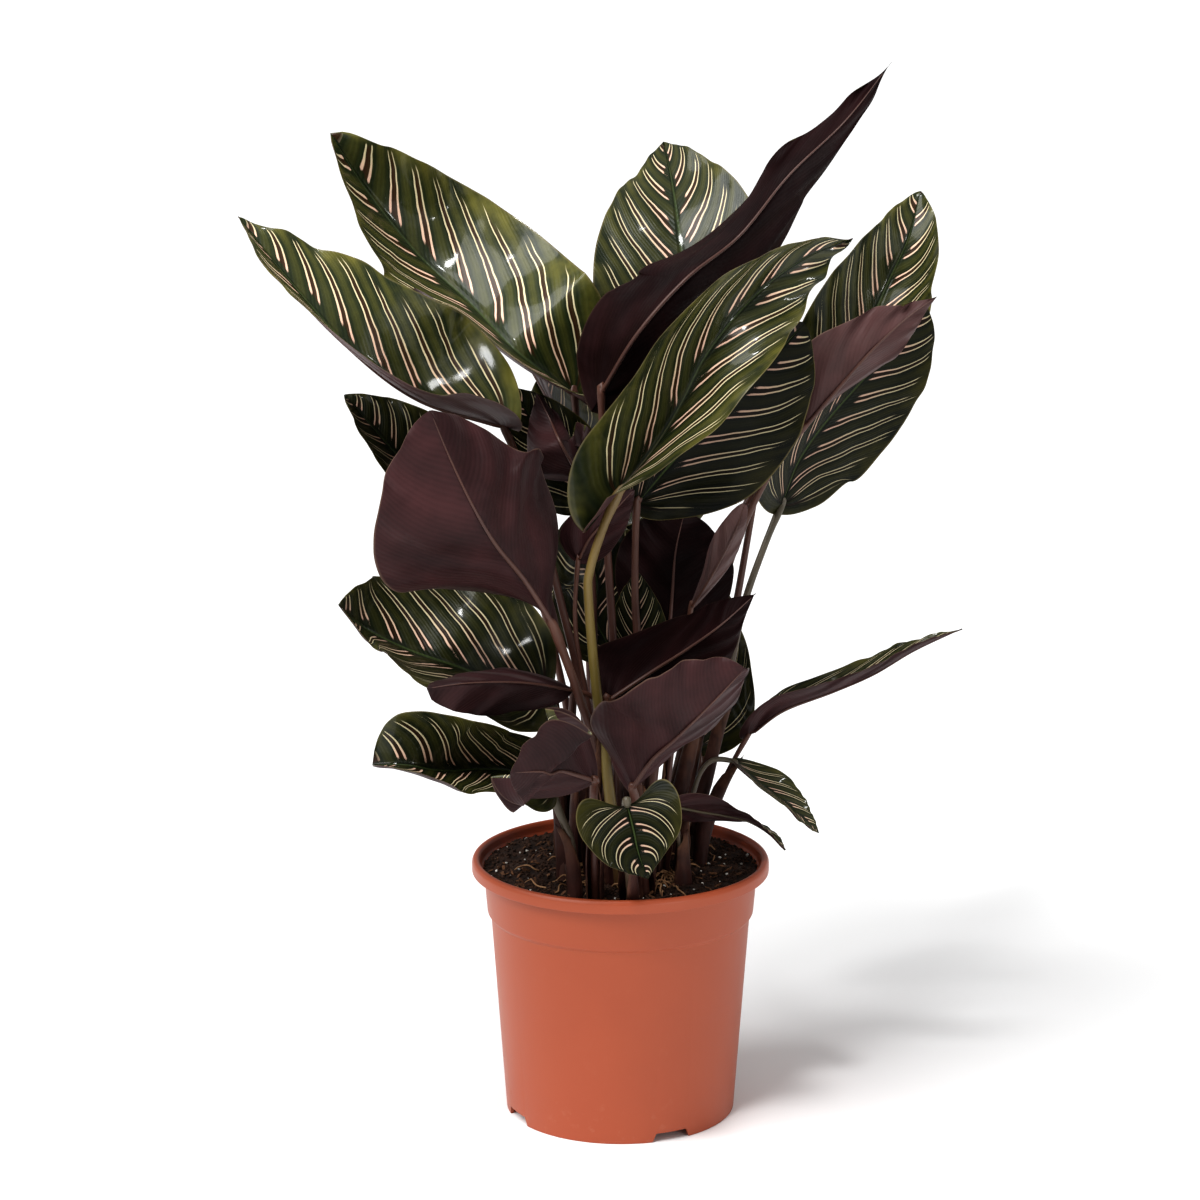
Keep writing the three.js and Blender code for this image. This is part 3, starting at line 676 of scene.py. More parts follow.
# %% Where each leaf stands and how it is folded
USUAL = {
    "face": "front",
    "belly": 0.36,
    "taper": 0.85,
    "lobe": 0.06,
    "notch": 0,
    "waves": 3,
    "wave": (2.5, 2.5),
    "start": (0, 2),
    "whole": False,
}
AT_THE_BACK = {"face": "up", "whole": True}
STEEP_LEFT = {"left": (15, 15, 12, 10), "right": (12, 12, 15, 10), **AT_THE_BACK}
STEEP_RIGHT = {"left": (12, 12, 12, 10), "right": (15, 15, 12, 10), **AT_THE_BACK}
LEAVES = {
    "top_left": {
        "rib": [
            (-28, 65, 407), (-60, 50, 434), (-86, 79, 456),
            (-117, 99, 482), (-144, 95, 517), (-165, 80, 554),
        ],
        "stalk": [(-10, 16), (-13, 38, 240), (-20, 51, 328)],
        "width": 120, "turn": (33, 10), "left": (72, 44, 61, 19), "right": (23, 1, 25, 11),
        "wave": (2.4, 4.3), "waves": 3.4, "start": (0.6, 2.9), "belly": 0.23, "taper": 0.55,
    },
    "far_left": {
        "rib": [(-67, -20, 404), (-111, -29, 420), (-146, -42, 449), (-178, -37, 484), (-208, -27, 520)],
        "stalk": [(-20, 2), (-20, -7, 232), (-34, -11, 303), (-51, -16, 367)],
        "width": 106, "turn": (54, 46), "left": (61, 50, 30, 5), "right": (26, 36, 7, 16),
        "wave": (0.6, 2.9), "waves": 2.8, "start": (-0.5, 1.9), "belly": 0.29, "taper": 0.93,
    },
    "top_centre": {
        "rib": [(40, 84, 414), (37, 90, 445), (36, 101, 477), (33, 119, 503), (30, 145, 522), (26, 172, 539)],
        "stalk": [(14, 20), (20, 40, 233), (34, 63, 333)],
        "width": 107, "turn": (-1, -8), "left": (9, 10, 10, 9), "right": (11, 3, 19, 9),
        "wave": (1.2, 1), "waves": 2.8, "start": (0.2, 1.8), "belly": 0.32, "taper": 0.96,
    },
    "tall_dark": {
        "rib": [
            (-10, -22, 423), (9, -36, 457), (35, -30, 486), (65, -8, 507),
            (92, -4, 540), (123, 10, 568), (148, 12, 600),
        ],
        "stalk": [(0, -4), (-3, -6, 251), (-8, -13, 341)],
        "width": 122, "turn": (141, 160), "left": (48, 83, 60, 12), "right": (6, 52, 25, 3),
        "wave": (3.9, 6), "waves": 2.7, "start": (0.8, -1.5), "taper": 1.26,
    },
    "front_striped": {
        "rib": [
            (0, -66, 378), (17, -69, 400), (31, -69, 423), (43, -71, 448),
            (58, -69, 469), (77, -59, 487), (99, -55, 502), (124, -46, 511),
        ],
        "stalk": [(0, -42), (-13, -60, 258), (-18, -68, 317), (-17, -70, 334), (-10, -70, 357)],
        "width": 85, "turn": (-26, 19), "left": (32, 33, 13, 29), "right": (63, 26, -1, 26),
        "wave": (2, 4.5), "waves": 3.7, "start": (-0.8, 4.5), "belly": 0.29, "taper": 0.93, "lobe": 0.17,
    },
    "mid_right_striped": {
        "rib": [(10, -13, 360), (32, -11, 386), (55, -9, 410), (79, -7, 434), (101, -11, 460)],
        "stalk": [(10, -14), (11, -8, 245), (8, -8, 304)],
        "width": 106, "turn": (26, 11), "left": (19, 24, 21, 11), "right": (-13, 1, 5, 3),
        "wave": (2.4, 2.1), "start": (0.1, 2.3), "taper": 0.75,
    },
    "right_top": {
        "rib": [
            (124, 112, 389), (136, 123, 413), (148, 132, 438),
            (159, 138, 462), (170, 139, 487), (177, 147, 513),
        ],
        "stalk": [(32, 12), (47, 45, 231), (54, 63, 288), (72, 80, 336), (99, 98, 369)],
        "width": 87, "turn": (-13, -19), "left": (18, 40, 26, 12), "right": (26, 26, 12, 19),
        "wave": (1.9, 3.5), "waves": 3.1, "start": (0.3, 1.9), "belly": 0.34, "taper": 0.79,
    },
    "right_purple": {
        "rib": [(103, 7, 399), (119, 6, 418), (138, -2, 442), (157, -6, 461), (174, -4, 473)],
        "stalk": [(22, -6), (47, 9, 241), (56, 17, 297), (71, 18, 343), (89, 13, 380)],
        "width": 58, "turn": (212, 171), "left": (44, 27, 4, 25), "right": (21, 18, 17, 16),
        "wave": (2.1, 5.3), "waves": 2.6, "start": (0.8, 1.5), "belly": 0.27, "taper": 1.17,
    },
    "right_low": {
        "rib": [
            (94, 64, 344), (102, 62, 367), (116, 64, 388),
            (138, 68, 413), (163, 70, 439), (175, 68, 457),
        ],
        "stalk": [(40, 18), (54, 30, 207), (63, 34, 251), (71, 40, 288), (83, 52, 320)],
        "width": 102, "turn": (33, 20), "left": (10, 29, 16, 20), "right": (1, -7, 16, 3),
        "wave": (0.6, 1.6), "waves": 2.5, "start": (0.3, 0.4), "belly": 0.38,
    },
    "front_purple": {
        "rib": [
            (-38, -85, 308), (-52, -90, 332), (-67, -101, 354),
            (-79, -109, 377), (-91, -109, 403), (-101, -112, 429),
        ],
        "stalk": [(-16, -24), (-15, -56, 226), (-23, -70, 262), (-32, -80, 291)],
        "width": 139, "turn": (191, 194), "left": (67, 32, 56, 13), "right": (88, 20, 16, 6),
        "wave": (3, 3.7), "waves": 3.1, "start": (0, 2.6), "belly": 0.32, "taper": 0.73,
    },
    "left_small": {
        "rib": [(-101, -6, 359), (-113, -17, 374), (-125, -26, 390), (-138, -32, 407), (-151, -37, 424)],
        "stalk": [(-32, -6), (-37, -2, 239), (-53, 3, 281), (-78, -1, 323)],
        "width": 68, "turn": (20, 18), "left": (49, 54, 48, 11), "right": (9, 14, 10, 10),
        "wave": (2.1, 2.5), "belly": 0.34, "taper": 0.82,
    },
    "left_mid": {
        "rib": [
            (-46, -10, 250), (-69, -23, 259), (-92, -33, 270),
            (-119, -34, 280), (-143, -39, 294), (-155, -57, 311),
        ],
        "stalk": [(-32, -22), (-36, -15, 203)],
        "width": 112, "turn": (23, 45), "left": (51, 48, 56, 10), "right": (12, -6, -2, 8),
        "wave": (0.6, 1.7), "waves": 2.9, "start": (0, 1.8), "taper": 0.69,
    },
    "left_under": {
        "rib": [(-27, -58, 263), (-44, -72, 270), (-60, -86, 275), (-83, -96, 277), (-105, -100, 275)],
        "stalk": [(-27, -37), (-25, -42, 205), (-14, -49, 251)],
        "width": 42, "turn": (180, 180), "left": (84, 86, 84, 8), "right": (-4, 6, 2, 14),
        "wave": (0.8, 1.6), "waves": 2.4, "start": (0.7, 1.7), "belly": 0.55, "taper": 0.42, "lobe": 0,
    },
    "low_left": {
        "rib": [
            (-41, -52, 205), (-59, -58, 216), (-76, -62, 219),
            (-98, -72, 221), (-118, -82, 227), (-136, -82, 227),
        ],
        "stalk": [(-26, -52), (-28, -50, 173), (-34, -50, 190)],
        "width": 98, "turn": (12, 37), "left": (59, 56, 59, 21), "right": (29, 52, 8, 30),
        "wave": (1.9, 1.2), "start": (-0.6, 2.1), "belly": 0.53, "taper": 0.55,
    },
    "low_purple": {
        "rib": [(-16, -103, 225), (-32, -114, 233), (-38, -126, 235), (-43, -136, 239), (-59, -142, 240)],
        "stalk": [(-14, -58), (-15, -76, 208)],
        "width": 68, "turn": (182, 164), "left": (31, 20, -11, 10), "right": (29, 19, 1, 10),
        "wave": (2.4, 0.7), "waves": 2.9, "start": (0.3, 1.9), "belly": 0.46, "taper": 0.59,
    },
    "centre_purple": {
        "rib": [
            (7, -73, 213), (17, -81, 230), (29, -90, 244),
            (41, -100, 259), (53, -108, 274), (66, -113, 290),
        ],
        "stalk": [(13, -52), (9, -64, 195)],
        "width": 90, "turn": (178, 192), "left": (65, 55, 60, 10), "right": (30, -18, 26, 9),
        "wave": (2, 2.3), "waves": 3.2, "start": (0, 2.6), "belly": 0.38, "taper": 0.59,
    },
    "centre_dark": {
        "rib": [(-6, -56, 257), (16, -55, 272), (35, -64, 287), (54, -71, 303), (73, -69, 320)],
        "stalk": [(2, -28), (9, -44, 212)],
        "width": 83, "turn": (160, 171), "left": (44, 47, 46, 11), "right": (15, 54, 9, 13),
        "wave": (1.1, 1), "belly": 0.22, "taper": 1.05,
    },
    "grey_fold": {
        "rib": [(40, -13, 300), (47, -24, 314), (56, -27, 331), (64, -21, 346), (69, -6, 357)],
        "stalk": [(22, -22), (32, -8, 245)],
        "width": 28, "turn": (173, 183), "left": (59, 54, 38, 13), "right": (68, 52, 36, 14),
        "wave": (0.7, 1), "belly": 0.6, "taper": 0.7,
    },
    "dark_mass": {
        "rib": [(27, 8, 275), (29, 9, 299), (31, 13, 325), (36, 18, 347)],
        "stalk": [(14, -38), (20, -18, 212), (31, 1, 249)],
        "width": 68, "turn": (180, 180), "left": (-8, -8, -8, 8), "right": (8, 8, 8, 8),
        "belly": 0.55, "taper": 0.5,
    },
    "back_right": {
        "rib": [(46, 60, 199), (53, 64, 224), (55, 68, 250), (53, 78, 273), (49, 96, 292)],
        "stalk": [(30, 28), (44, 42, 178)],
        "width": 64, "turn": (-5, -20), "left": (15, 15, 15, 15), "right": (7, 30, 25, 16),
        "wave": (2.5, 3), "taper": 0.71,
    },
    "centre_striped": {
        "rib": [(-4, 20, 264), (-14, 21, 284), (-14, 23, 308), (-21, 16, 327), (-26, 20, 346)],
        "stalk": [(-2, 8), (-3, 14, 230)],
        "width": 60, "turn": (8, 30), "left": (8, 10, 8, 9), "right": (6, 1, 9, 4),
        "wave": (0.1, 5.7), "start": (-0.1, 2.8), "belly": 0.6, "taper": 0.67,
    },
    "arch": {
        "rib": [(-22, 4, 369), (-27, -11, 380), (-34, -16, 394), (-39, 0, 402), (-47, 8, 417)],
        "stalk": [(-12, 4), (-15, 2, 247), (-16, 3, 308)],
        "width": 56, "turn": (189, 207), "left": (16, 46, 32, 18), "right": (20, 23, 17, 15),
        "wave": (2.6, 2.4), "start": (0.3, 2), "belly": 0.34, "taper": 0.99,
    },
    "neck_purple": {
        "rib": [(-23, -39, 333), (-17, -41, 345), (-6, -43, 358), (7, -45, 373)],
        "stalk": [(-4, -36), (-15, -38, 232), (-25, -37, 290)],
        "width": 34, "turn": (180, 176), "left": (20, 24, 20, 12), "right": (10, 14, 20, 10),
        "wave": (1, 1), "belly": 0.24, "taper": 0.9, "whole": True,
    },
    "inner_left": {
        "rib": [(-18, 26, 351), (-30, 24, 371), (-46, 24, 394), (-62, 30, 416)],
        "stalk": [(-32, 14), (-27, 19, 240), (-22, 25, 320)],
        "width": 54, "turn": (-6, 8), "left": (14, 16, 14, 10), "right": (10, 12, 10, 10),
        "wave": (1.5, 1.5), "whole": True,
    },
    "inner_low": {
        "rib": [(13, 2, 256), (10, 0, 278), (9, 0, 298), (9, 0, 317)],
        "stalk": [(14, 4), (13, 3, 205), (11, 2, 236)],
        "width": 35, "turn": (10, 10), "left": (0, 0, 0, 8), "right": (0, 0, 0, 8),
        "wave": (1, 1), "whole": True,
    },
    "long_right": {
        "rib": [(75, 15, 219), (92, 1, 236), (120, 11, 244), (143, 1, 257), (165, -8, 273), (192, -5, 285)],
        "stalk": [(46, 4), (52, 16, 172), (63, 16, 198)],
        "width": 29, "turn": (-98, -83), "left": (29, 32, 30, 9), "right": (53, 35, 49, 7),
        "wave": (0.8, 0.1), "taper": 0.92, "whole": True,
    },
    "small_right": {
        "rib": [(66, 6, 203), (77, -2, 195), (89, -10, 188), (101, -12, 178), (113, -11, 167)],
        "stalk": [(34, -14), (42, 2, 188), (51, 6, 204)],
        "width": 28, "turn": (-65, -50), "left": (1, 21, 13, 14), "right": (31, 29, 32, 15),
        "wave": (0.4, 1), "start": (0.1, 2.4), "whole": True,
    },
    "droop_right": {
        "rib": [
            (31, -26, 187), (45, -18, 182), (58, -12, 178),
            (72, -14, 175), (84, -16, 168), (93, -20, 159),
        ],
        "stalk": [(36, -34), (33, -31, 168)],
        "width": 24, "turn": (-160, -64), "left": (4, -16, 20, 10), "right": (18, 13, 14, 13),
        "wave": (0.3, 0.1), "belly": 0.3, "whole": True,
    },
    "heart": {
        "rib": [(3, -119, 215), (6, -124, 204), (9, -128, 191), (14, -130, 177)],
        "stalk": [(6, -68), (3, -96, 187)],
        "width": 58, "turn": (0, 4), "left": (4, 6, 8, 8), "right": (4, 6, 8, 8),
        "wave": (0.5, 0.7), "belly": 0.3, "taper": 1.15, "lobe": 0.6, "notch": 1, "whole": True,
    },
    "back_up": {
        "rib": [(-6, 90, 327), (-12, 120, 357), (-18, 155, 387), (-24, 190, 411)],
        "stalk": [(-4, 36), (-5, 58, 227)],
        "width": 100, "turn": (0, 0), **STEEP_LEFT,
    },
    "back_low": {
        "rib": [(18, 75, 222), (20, 120, 250), (22, 170, 262), (20, 220, 256)],
        "stalk": [(10, 46), (20, 60, 188)],
        "width": 96, "turn": (0, 0), **STEEP_RIGHT,
    },
    "back_left_up": {
        "rib": [(-26, 84, 369), (-44, 119, 398), (-65, 154, 426), (-89, 179, 453)],
        "stalk": [(-14, 28), (-18, 57, 258)],
        "width": 84, "turn": (40, 40), **STEEP_LEFT,
    },
    "back_right_up": {
        "rib": [(83, 136, 343), (102, 166, 381), (123, 192, 413), (143, 217, 443)],
        "stalk": [(36, 42), (64, 104, 246)],
        "width": 80, "turn": (-30, -30), **STEEP_RIGHT,
    },
    "back_left_low": {
        "rib": [(-46, 60, 286), (-65, 100, 306), (-87, 140, 319), (-109, 172, 322)],
        "stalk": [(-22, 30), (-30, 44, 220)],
        "width": 76, "turn": (20, 20), **STEEP_LEFT,
    },
    "back_right_low": {
        "rib": [(40, 86, 206), (47, 120, 212), (52, 154, 210), (54, 182, 198)],
        "stalk": [(24, 48), (33, 64, 182)],
        "width": 50, "turn": (-60, -60), **STEEP_LEFT,
    },
    "back_mid": {
        "rib": [(14, 92, 308), (20, 130, 340), (32, 172, 358), (40, 214, 364)],
        "stalk": [(6, 28), (8, 56, 230)],
        "width": 88, "turn": (0, 0), **STEEP_RIGHT,
    },
}
for leaf in LEAVES.values():
    for key, value in USUAL.items():
        leaf.setdefault(key, value)
print("leaves:", len(LEAVES))

# %% [markdown]
# ### One tree for every blade
# The tree receives the midrib as a curve. It bends a grid round the blade: the first half of the
# grid's rows makes the upper side from the right margin to the left one, and the second half
# comes back underneath, so the blade is closed and thin.
#
# Some numbers stay on the mesh for the finishes. `vein` is the same all along one side vein,
# `along` runs from base to tip, and `away` runs from -1 at the left margin over 0 at the midrib
# to 1 at the right margin. `leaf` and `pairs` are the leaf's own number and count of side veins;
# one more number holds each leaf's painted light and shade, and `under` marks the faces of the underside.

# %% The blade tree
blade, given = new_tree(
    "leaf_blade",
    Float="Width, Belly, Taper, Lobe, Notch, Faces Up, Veins, Rib Depth, Number, Tone, Thickness",
    Vector="Turn, Left Fold, Right Fold, Curl, Ripple, Ripple Start",
    Int="Rows, Columns",
    Material="Upper Side, Underside",
)


def parts(tree, vector):
    split = node_in(tree, "ShaderNodeSeparateXYZ", Vector=vector)
    return [out(tree, split, i) for i in range(3)]


def through_three(tree, values, s):
    """A smooth value from base over middle to tip."""
    base, middle_value, tip = parts(tree, values)
    return base * (1.0 - s) * (1.0 - s * 2.0) + middle_value * s * (1.0 - s) * 4.0 + tip * s * (s * 2.0 - 1.0)


print("inputs of the blade tree:", len(given))

# %% Where each point of the grid lies on the blade
grid = node_in(
    blade,
    "GeometryNodeMeshGrid",
    Size_X=1.0,
    Size_Y=1.0,
    Vertices_X=given["Rows"],
    Vertices_Y=given["Columns"],
)
here = parts(blade, out(blade, node_in(blade, "GeometryNodeInputPosition")))
along = here[0] + 0.5
round_it = here[1] + 0.5
QUARTER_TURN = math.pi / 2
x = 1.0 - (along * QUARTER_TURN).cos()
away = ((round_it - 0.5).math("ABSOLUTE") * 4.0 - 1.0) * QUARTER_TURN
away = away.sin()
a = away.math("ABSOLUTE")
side = away.math("SIGN")
upper = round_it.either(1.0, 0.5, -1.0)

print("nodes so far:", len(blade.nodes))

# %% Half width: a quarter ellipse up to the belly, then a falling cosine
short = (given["Belly"] - x) / given["Belly"]
rising = (1.0 - short * short).math("MAXIMUM", 0.0).math("SQRT")
late = ((x - given["Belly"]) / (1.0 - given["Belly"])).clamp() * QUARTER_TURN
falling = late.cos().math("MAXIMUM", 0.0) ** given["Taper"]
outline = x.either(rising, given["Belly"], falling)
half = given["Width"] * 0.5 * outline
print("nodes so far:", len(blade.nodes))

# %% The spot on the midrib that a point grows from, and the directions there
rest = 1.0 - x
open_base = 1.0 - given["Notch"] * rest ** 12.0
s = x - given["Lobe"] * rest ** 3.0 * a ** 3.0 * open_base
on_rib = s.clamp()
rib = node_in(blade, "GeometryNodeMeshToCurve", Mesh=given["Geometry"])
length = out(blade, node_in(blade, "GeometryNodeCurveLength", Curve=out(blade, rib)))
sample = node_in(blade, "GeometryNodeSampleCurve", {"mode": "FACTOR"}, Curves=out(blade, rib), Factor=on_rib)
forward = Wire(blade, sample.outputs["Tangent"]).vector("NORMALIZE")
spot = Wire(blade, sample.outputs["Position"]) + forward * ((s - on_rib) * length)
look = node_in(blade, "ShaderNodeCombineXYZ", Y=given["Faces Up"] - 1.0, Z=given["Faces Up"])
look = out(blade, look)
flat_look = (look - forward * look.vector("DOT_PRODUCT", forward)).vector("NORMALIZE")
turn = through_three(blade, given["Turn"], on_rib)
normal = flat_look * turn.cos() + forward.vector("CROSS_PRODUCT", flat_look) * turn.sin()
sideways = forward.vector("CROSS_PRODUCT", normal)
print("nodes so far:", len(blade.nodes))

# %% Fold and curl
left_curl, right_curl = parts(blade, given["Curl"])[:2]
left_wave, right_wave, waves = parts(blade, given["Ripple"])
left_fold = through_three(blade, given["Left Fold"], on_rib)
right_fold = through_three(blade, given["Right Fold"], on_rib)
lift = side.either(left_fold, 0.0, right_fold)
curl = side.either(left_curl, 0.0, right_curl)
slope = lift + curl * a
reach = half * (slope.sin() - lift.sin()) / curl
rise = half * (lift.cos() - slope.cos()) / curl
print("nodes so far:", len(blade.nodes))

# %% Side veins, ripples and the quilting between the veins
vein = x ** (1.0 + (a * 0.55 + a * a * 0.45) * 1.9)
fan = given["Lobe"] * 0.7 + 0.3
arch = 0.45 - given["Notch"] * 0.4
stripe = ((x + fan) / (fan + 1.0)) ** (1.0 + (a * arch + a ** 2.5 * (1.0 - arch)) * 2.2)
swell = (vein * math.pi).sin().math("MAXIMUM", 0.0) ** 0.7
left_start, right_start = parts(blade, given["Ripple Start"])[:2]
phase = side.either(left_start, 0.0, right_start)
ripple = side.either(left_wave, 0.0, right_wave) * a * a * swell
ripple = ripple * (vein * waves * (2 * math.pi) + phase).sin()
FRILL_HEIGHT = 0.0004
frill = (vein * waves * (5.2 * math.pi) + phase * 3.0 + given["Number"]).sin()
frill = frill * a ** 5.0 * swell * FRILL_HEIGHT
ribbed = (stripe * given["Veins"] * math.pi + given["Number"]).cos()
ribbed = ribbed * a.smooth(0.03, 0.3) * (1.0 - a.smooth(0.75, 1.0))
ribbed = ribbed * swell * given["Width"] * given["Rib Depth"]
print("nodes so far:", len(blade.nodes))

# %% A little unevenness, the blade's thickness and the place of each point
soft = node_in(
    blade,
    "ShaderNodeTexNoise",
    {"noise_dimensions": "4D"},
    Vector=spot + sideways * (side * reach),
    W=given["Number"],
    Scale=24.0,
    Detail=1.0,
)
uneven = (out(blade, soft, "Fac") - 0.5) * 0.006 * a.smooth(0.0, 0.5)
lean = normal * slope.cos() - sideways * (side * slope.sin())
body = given["Thickness"] * 0.5 * (1.0 - a ** 8.0).math("MAXIMUM", 0.0).math("SQRT") * (outline * 8.0).clamp()
placed = (
    spot
    + sideways * (side * reach)
    + normal * (rise + ripple + frill)
    + lean * (uneven + ribbed + upper * body)
)

kept = node_in(blade, "GeometryNodeSetPosition", Geometry=out(blade, grid))
plug(blade, kept.inputs["Position"], placed)
print("nodes so far:", len(blade.nodes))

# %% Numbers for the finishes, and the end of the tree
def store(tree, geometry, name, value, domain="POINT"):
    """Keeps the value on the mesh under this name."""
    made = tree.nodes.new("GeometryNodeStoreNamedAttribute")
    made.data_type = "FLOAT"
    made.domain = domain
    plug(tree, made.inputs["Geometry"], geometry)
    made.inputs["Name"].default_value = name
    plug(tree, made.inputs["Value"], value)
    return out(tree, made)


on_points = {
    "vein": stripe,
    "along": x,
    "away": away,
    "leaf": given["Number"],
    "tone": given["Tone"],
    "pairs": given["Veins"],
}
shape = out(blade, grid)
for label, value in on_points.items():
    shape = store(blade, shape, label, value)
shape = store(blade, shape, "under", round_it.math("GREATER_THAN", 0.5), "FACE")
plug(blade, kept.inputs["Geometry"], shape)
closed = node_in(blade, "GeometryNodeMergeByDistance", Geometry=out(blade, kept), Distance=0.00001)
top = coated(blade, closed, given["Upper Side"])
below = node_in(blade, "GeometryNodeInputNamedAttribute", {"data_type": "FLOAT"}, Name="under")
both = node_in(
    blade,
    "GeometryNodeSetMaterial",
    Geometry=top,
    Selection=out(blade, below, 0).math("GREATER_THAN", 0.5),
    Material=given["Underside"],
)
end_tree(blade, out(blade, both))
print("blade tree nodes:", len(blade.nodes))

# %% [markdown]
# ### Stalks
# A stalk is a slim rod that follows its path out of the compost. It thins towards the blade, swells
# at the joint just under it, and goes on as the midrib, which stands proud of the underside and
# runs out to nothing at the tip. A path with a changing thickness is one sweep along a curve.

# %% The stalk tree
stalk, given = new_tree(
    "leaf_stalk",
    Float="Stalk Length, Foot Radius, Neck Radius, Joint Swelling, Tip Radius",
    Int="Sides",
    Material="Finish",
)
path = node_in(stalk, "GeometryNodeMeshToCurve", Mesh=given["Geometry"])
parameter = node_in(stalk, "GeometryNodeSplineParameter")
run = Wire(stalk, parameter.outputs["Length"])
whole_run = out(stalk, node_in(stalk, "GeometryNodeSplineLength"))
share = (run / given["Stalk Length"]).clamp()
straight = given["Foot Radius"] + (given["Neck Radius"] - given["Foot Radius"]) * share ** 0.8
FOOT_FLARE = 0.37
JOINT_BELOW_BLADE = 0.009
JOINT_REACH = 0.008
foot = (run * -38.0).math("EXPONENT") * given["Foot Radius"] * FOOT_FLARE
to_joint = (given["Stalk Length"] - JOINT_BELOW_BLADE - run) / JOINT_REACH
swelling = (to_joint * to_joint * -1.0).math("EXPONENT") * given["Joint Swelling"]
beyond = ((run - given["Stalk Length"]) / (whole_run - given["Stalk Length"])).clamp()
thin = given["Neck Radius"] * 0.6 * (1.0 - beyond) ** 0.8 + given["Tip Radius"]
radius = run.either(straight + foot + swelling, given["Stalk Length"], thin)
marked = store(stalk, out(stalk, path), "up_stalk", run / given["Stalk Length"])
ring = node_in(stalk, "GeometryNodeCurvePrimitiveCircle", Resolution=given["Sides"], Radius=1.0)
swept = node_in(
    stalk,
    "GeometryNodeCurveToMesh",
    Curve=marked,
    Profile_Curve=out(stalk, ring),
    Scale=radius,
    Fill_Caps=True,
)
end_tree(stalk, coated(stalk, swept, given["Finish"]))
print("stalk tree nodes:", len(stalk.nodes))

# %% [markdown]
# ### Leaf finishes
# The upper side is waxy and dark green. Fine pale lines run in pairs along the side veins, pink
# near the midrib and cream towards the margin, and they stop short of both. The underside is matt
# maroon with faint veins. Both finishes read the numbers that the blade tree left on the mesh, so
# the drawing bends with the leaf. Each has a second version, with less gloss, for leaves that
# stand in the shade of others.

# %% Upper side
def attribute(tree, name):
    made = node_in(tree, "ShaderNodeAttribute", {"attribute_type": "GEOMETRY", "attribute_name": name})
    return Wire(tree, made.outputs["Fac"])


def chance(tree, value):
    made = node_in(tree, "ShaderNodeTexWhiteNoise", {"noise_dimensions": "1D"}, W=value)
    return Wire(tree, made.outputs["Value"])


def side_veins(tree):
    """Distance from the midrib, and how many side veins lie between the base and a point."""
    away = attribute(tree, "away")
    right = away.math("GREATER_THAN", 0.0)
    wander = (grain(tree, 42.0, 2.0) - 0.5) * 0.22
    turn = attribute(tree, "vein") * attribute(tree, "pairs") + right * 0.43
    return away.math("ABSOLUTE"), turn + attribute(tree, "leaf") * 0.31 + wander


def between_veins(tree, turn):
    """Distance from the middle between two side veins, and a random value for each line."""
    number = turn.math("FLOOR")
    place = turn - number - 0.5
    right = attribute(tree, "away").math("GREATER_THAN", 0.0)
    seed = number * 2.0 + place.math("GREATER_THAN", 0.0) + right * 37.0
    return place.math("ABSOLUTE"), chance(tree, seed + attribute(tree, "leaf") * 113.0)


def striped(name, coat, shine):
    """The upper side: green fields, paired pale lines, midrib, margin and a quilted bump."""
    made, tree, shader = finish(name, Coat_Weight=coat, Coat_Roughness=0.09, Specular_IOR_Level=shine)
    a, turn = side_veins(tree)
    across, luck = between_veins(tree, turn)
    vein = attribute(tree, "vein")
    along = attribute(tree, "along")
    begin = 0.05 + luck * 0.12
    stop = 0.98 - luck * 0.18
    tapered = 1.0 - ((a - begin) / (stop - begin)).clamp() * 0.5
    drawn = a.smooth(begin - 0.02, begin + 0.03) * (1.0 - a.smooth(stop - 0.1, stop))
    half_line = tapered * (0.046 + luck * 0.018) * (0.3 + drawn * 0.7)
    from_line = (across - (0.14 - a * 0.04)).math("ABSOLUTE")
    line = (1.0 - from_line.smooth(half_line * 0.6, half_line)) * drawn
    line = line * along.smooth(0.015, 0.05) * vein.smooth(0.04, 0.065) * (1.0 - vein.smooth(0.94, 0.985))
    cloud = grain(tree, 46.0, 3.0)
    fibres = (turn * 44.0).sin() * 0.5 + 0.5
    brush = grain(tree, 170.0, 4.0)
    green = blended(tree, cloud, rgb(18, 26, 12), rgb(30, 38, 18))
    open_field = across.smooth(0.22, 0.46) * (0.3 + brush * 0.7)
    green = blended(tree, open_field * (0.4 + a * 0.35), green, rgb(84, 82, 35))
    green = blended(tree, a.smooth(0.6, 1.0) * cloud.smooth(0.35, 0.75) * 0.6, green, rgb(112, 106, 48))
    inner = (1.0 - across.smooth(0.08, 0.15)) * drawn * (1.0 - a.smooth(0.6, 0.95))
    green = blended(tree, inner * 0.85, green, rgb(50, 26, 15))
    green = blended(tree, fibres * 0.1, green, rgb(78, 84, 46))
    pale = blended(tree, a.smooth(0.08, 0.55), rgb(240, 198, 176), rgb(220, 208, 168))
    # Painted light and shade: each leaf's value from the table darkens the green and the lines of shaded
    # leaves and pales those of sunlit ones.
    tone = attribute(tree, "tone")
    colour = blended(tree, line * 0.96, green * tone, pale * tone ** 0.45)
    rib_line = 1.0 - a.smooth(0.010, 0.024)
    colour = blended(tree, rib_line * 0.6, colour, rgb(66, 80, 44))
    colour = blended(tree, a.smooth(0.972, 0.995) * 0.5, colour, rgb(120, 108, 72))
    roughness = (0.3 + cloud * 0.16 + line * 0.1).clamp(0.1, 0.9)
    groove = a.smooth(0.0, 0.05)
    quilt = (turn * (2 * math.pi)).cos() * 0.5 + 0.5
    height = groove * 0.8 + quilt * 0.4 + fibres * 0.08 + cloud * 0.5 + brush * 0.12
    surface(tree, shader, colour, roughness, height, 0.0012)
    return made


upper_side = striped("striped_upper_side", 0.3, 0.2)
shaded_upper_side = striped("shaded_upper_side", 0.05, 0.08)
print("upper side nodes:", len(upper_side.node_tree.nodes))

